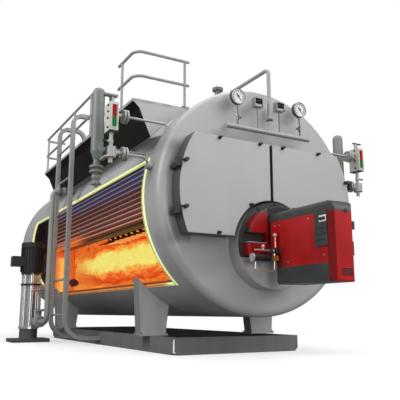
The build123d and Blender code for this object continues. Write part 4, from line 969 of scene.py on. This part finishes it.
def add_level_glass():
    """Water gauges: a red strip over a green one, a raised rim round them, and screws on the sides."""
    red, green, rims, screws = bmesh.new(), bmesh.new(), bmesh.new(), bmesh.new()
    face_y = front_y + 0.19
    back_y, glass_y, rim_y = face_y - 0.0003, face_y - 0.005, face_y - 0.011
    low, high, middle = glass_low_z + 0.040, glass_high_z - 0.035, glass_high_z - 0.171
    foot, top = low - 0.012, high + 0.011
    for side in (-1, 1):
        x = side * gauge_x
        add_block(red, (x - 0.024, glass_y, middle), (x + 0.024, back_y, high))
        add_block(green, (x - 0.024, glass_y, low), (x + 0.024, back_y, middle))
        for left, right, bottom, upper in (
                (-0.044, -0.032, foot, top), (0.032, 0.044, foot, top),
                (-0.030, 0.030, foot, low), (-0.030, 0.030, high, top)):
            add_block(rims, (x + left, rim_y, bottom), (x + right, back_y, upper), 0.002)
        for share in (0.09, 0.31, 0.54, 0.86):
            z = glass_high_z - share * (glass_high_z - glass_low_z)
            for outward in (-1, 1):
                add_bolt(screws, (x + outward * 0.0493, face_y + 0.065, z), (outward, 0, 0), 0.020)
    make_piece("level_glass_red", red, red_glass)
    make_piece("level_glass_green", green, green_glass)
    make_piece("level_glass_rims", rims, pale_housing)
    make_piece("level_screws", screws, black_ink)


# Bolts on flanges, legs and rail posts

def add_pipe_bolts(mesh):
    """Bolt rings on the level chambers, the water gauges, the feed valve and the flue."""
    for side in (-1, 1):
        for rise in (0.330, 0.272):
            centre = (side * column_x, column_y, axis_z + rise)
            add_bolt_ring(mesh, centre, (0, 0, 1), 0.062, 6, 0.017, 0.3)
        for rise in (0.843, 0.403):
            for inset, way in ((0.128, -1), (0.185, 1)):
                centre = (side * (gauge_x - inset), gauge_y, axis_z + rise)
                add_bolt_ring(mesh, centre, (side * -way, 0, 0), 0.058, 6, 0.018, 0.4)
    for way in (-1, 1):
        centre = (feed_x, feed_valve_y + way * 0.135, 0.34)
        add_bolt_ring(mesh, centre, (0, way, 0), 0.072, 6, 0.02, 0.2)
    add_bolt_ring(mesh, (feed_x, feed_valve_y, 0.534), (0, 0, 1), 0.074, 6, 0.02)
    add_bolt_ring(mesh, (0.0, rear_y + 0.1481, axis_z + 0.62), (0, -1, 0), 0.331, 16, 0.03)


def add_leg_bolts(mesh):
    """Four bolts on each leg's foot plate."""
    for leg_y in (0.6935, 4.6135):
        for x in (-1.022, -0.672, 0.672, 1.022):
            for y in (leg_y - 0.012, leg_y + 0.187):
                add_bolt(mesh, (x, y, 0.2203), (0, 0, 1), 0.026)


def add_rail_bolts(mesh):
    """Four bolts on each rail post's base plate, which is kept within the deck's edges."""
    rail_x, rail_y = deck_left_x + 0.032, deck_front_y + 0.032
    first, last = 2.2505, 4.9105
    posts = [(rail_x, rail_y + 0.47), (rail_x + 0.741, rail_y)]
    posts += [(rail_x, first + number * (last - first) / 3) for number in range(4)]
    for x, y in posts:
        base_x, base_y = max(x - 0.055, deck_left_x), max(y - 0.055, deck_front_y)
        for dx in (0.014, 0.096):
            for dy in (0.014, 0.096):
                add_bolt(mesh, (base_x + dx, base_y + dy, deck_z + 0.0123), (0, 0, 1), 0.020)


def add_burner_bolts(mesh):
    """Seven bolts round the upper half of the burner's flange."""
    for angle in range(0, 181, 30):
        across, up = 0.482 * cos(radians(angle)), 0.482 * sin(radians(angle))
        add_bolt(mesh, (across, -0.8241, furnace_z + up), (0, -1, 0), 0.022)


def add_bolts():
    grey, dark = bmesh.new(), bmesh.new()
    add_pipe_bolts(grey)
    add_leg_bolts(grey)
    add_rail_bolts(grey)
    add_burner_bolts(dark)
    make_piece("flange_bolts", grey, grey_bolt)
    make_piece("burner_flange_bolts", dark, black_fitting)


# Burner and casing details

def add_burner_details():
    """Grille lines, the cover's eye, knobs on a dial plate, panel lines, a pale strip and screws."""
    dark, plate, pale, metal = bmesh.new(), bmesh.new(), bmesh.new(), bmesh.new()
    face_y = housing_front_y - 0.0003
    for number in range(5):
        z = 0.845 + 0.016 * number
        add_block(dark, (-0.05, face_y - 0.004, z), (0.092, face_y, z + 0.010), 0.001)
    add_rod(dark, (0.03, face_y - 0.003, cover_low_z), (0.03, face_y, cover_low_z), 0.024, sides=24)
    add_block(plate, (panel_x - 0.003, -1.8785, 1.380), (panel_x, -1.776, 1.446), 0.001)
    knob_z = 1.412
    for y in (-1.806, -1.850):
        add_rod(dark, (panel_x - 0.003, y, knob_z), (panel_x - 0.018, y, knob_z), 0.018, 0.015, sides=20)
        add_block(pale, (panel_x - 0.020, y - 0.002, knob_z), (panel_x - 0.018, y + 0.002, knob_z + 0.015))
    for z in (1.20, 1.26, 1.32):
        add_block(dark, (panel_x - 0.004, -1.86, z), (panel_x, -1.72, z + 0.003))
    add_block(pale, (-0.445, -0.9195, 1.2525), (-0.2005, -0.845, 1.267), 0.002)
    add_block(metal, (-0.262, fuel_y - 0.0475, 1.142), (-0.240, fuel_y - 0.0453, 1.168), 0.001)
    for y, z in ((-1.02, 1.44), (-1.82, 1.05), (-1.10, 1.44), (-1.60, 1.44), (-1.25, 1.02)):
        add_bolt(metal, (housing_side_x - 0.0003, y, z), (-1, 0, 0), 0.012)
    make_piece("burner_black_trim", dark, black_ink)
    make_piece("burner_dial_plate", plate, white_face)
    make_piece("burner_pale_trim", pale, grey_switch)
    make_piece("burner_screws", metal, silver)


def add_casing_strip():
    """A thin cover strip along the casing above the window, with a short return round the shell."""
    mesh = bmesh.new()
    near, far, foot = 0.80, 2.56, 152.5
    inner, outer = casing_radius + 0.0003, casing_radius + 0.0043
    for end, start_y in ((153.6, near), (159.8, far - 0.03)):
        outline = [
            on_casing(degrees, start_y, reach)
            for reach, degrees in ((inner, foot), (outer, foot), (outer, end), (inner, end))]
        add_plate(mesh, outline, (0.0, far - start_y, 0.0))
    make_piece("casing_strip", mesh, grey_rail)


add_flame()
add_wave_shadow_plates()
add_window_edge()
add_inner_tubes()
add_tube_ends()
add_dials()
add_switch_windows()
add_level_glass()
add_bolts()
add_burner_details()
add_casing_strip()


# Floor, backdrop, lights and camera

def floor_finish():
    """White ground to the camera, with a soft shadow; to the boiler it gives back less light."""
    finish = Finish("studio_floor")
    ground = finish.node("ShaderNodeBsdfDiffuse", {}, {"Color": (0.62, 0.62, 0.62, 1.0)})
    glow = finish.node("ShaderNodeEmission", {}, {"Color": white, "Strength": 0.5})
    near = finish.node("ShaderNodeAddShader", {}, {0: ground, 1: glow})
    far = finish.node("ShaderNodeEmission", {}, {"Color": white})
    squeezed = finish.node("ShaderNodeMapping", {}, {
        "Vector": finish.place, "Location": (0.0, -1.9, 0.0), "Scale": (1.0, 0.8, 0.0)})
    away = finish.node("ShaderNodeVectorMath", {"operation": "LENGTH"}, {0: squeezed}, "Value")
    seen = finish.blend(away.ramp(3.6, 6.5), near, far)
    bounce = finish.node("ShaderNodeBsdfDiffuse", {}, {"Color": (0.22, 0.22, 0.22, 1.0)})
    finish.close(finish.blend(finish.camera_ray(), bounce, seen))
    return finish.material


def add_floor():
    """A wide round floor just under the skid."""
    mesh = bmesh.new()
    bmesh.ops.create_circle(
        mesh, cap_ends=True, segments=96, radius=60.0, matrix=Matrix.Translation((0.0, 2.9, -0.001)))
    data = bpy.data.meshes.new("studio_floor")
    mesh.to_mesh(data)
    mesh.free()
    data.materials.append(floor_finish())
    floor = bpy.data.objects.new("studio_floor", data)
    bpy.context.scene.collection.objects.link(floor)


def add_world():
    """White to the camera and a dim even fill for the boiler."""
    world = bpy.data.worlds.new("studio_world")
    bpy.context.scene.world = world
    world.use_nodes = True
    graph = Graph(world.node_tree)
    fill, seen = [
        graph.node("ShaderNodeBackground", {}, {"Color": white, "Strength": strength})
        for strength in (0.40, 1.0)]
    graph.close(graph.blend(graph.camera_ray(), fill, seen), "ShaderNodeOutputWorld")


def add_lamp(name, place, aim, size, power):
    """A square lamp that looks at a point."""
    data = bpy.data.lights.new(name, "AREA")
    data.size = size
    data.energy = power
    lamp = bpy.data.objects.new(name, data)
    lamp.location = place
    lamp.rotation_euler = (Vector(aim) - Vector(place)).to_track_quat("-Z", "Y").to_euler()
    bpy.context.scene.collection.objects.link(lamp)


def add_camera(place, lift, turn, lens):
    """The photograph's view: low, close to the front left corner, looking up a little."""
    data = bpy.data.cameras.new("camera")
    data.lens = lens
    data.sensor_width = 36.0
    camera = bpy.data.objects.new("camera", data)
    camera.location = place
    camera.rotation_euler = (radians(90 + lift), 0.0, radians(turn))
    bpy.context.scene.collection.objects.link(camera)
    bpy.context.scene.camera = camera


add_floor()
add_world()
add_lamp("key", (3.2, -6.8, 6.6), (0.0, -0.6, 1.9), 7.0, 390.0)
add_lamp("front", (-2.0, -11.0, 1.2), (0.0, 0.0, 1.0), 4.0, 400.0)
add_lamp("top", (0.5, 2.5, 11.0), (0.0, 2.5, 1.5), 8.0, 500.0)
add_lamp("side", (-9.0, 0.0, 6.5), (-1.0, 2.0, 2.0), 5.0, 520.0)
add_camera((-3.914, -6.031, 0.495), 11.347, -29.169, 50.32)
bpy.context.scene.view_settings.view_transform = "Standard"
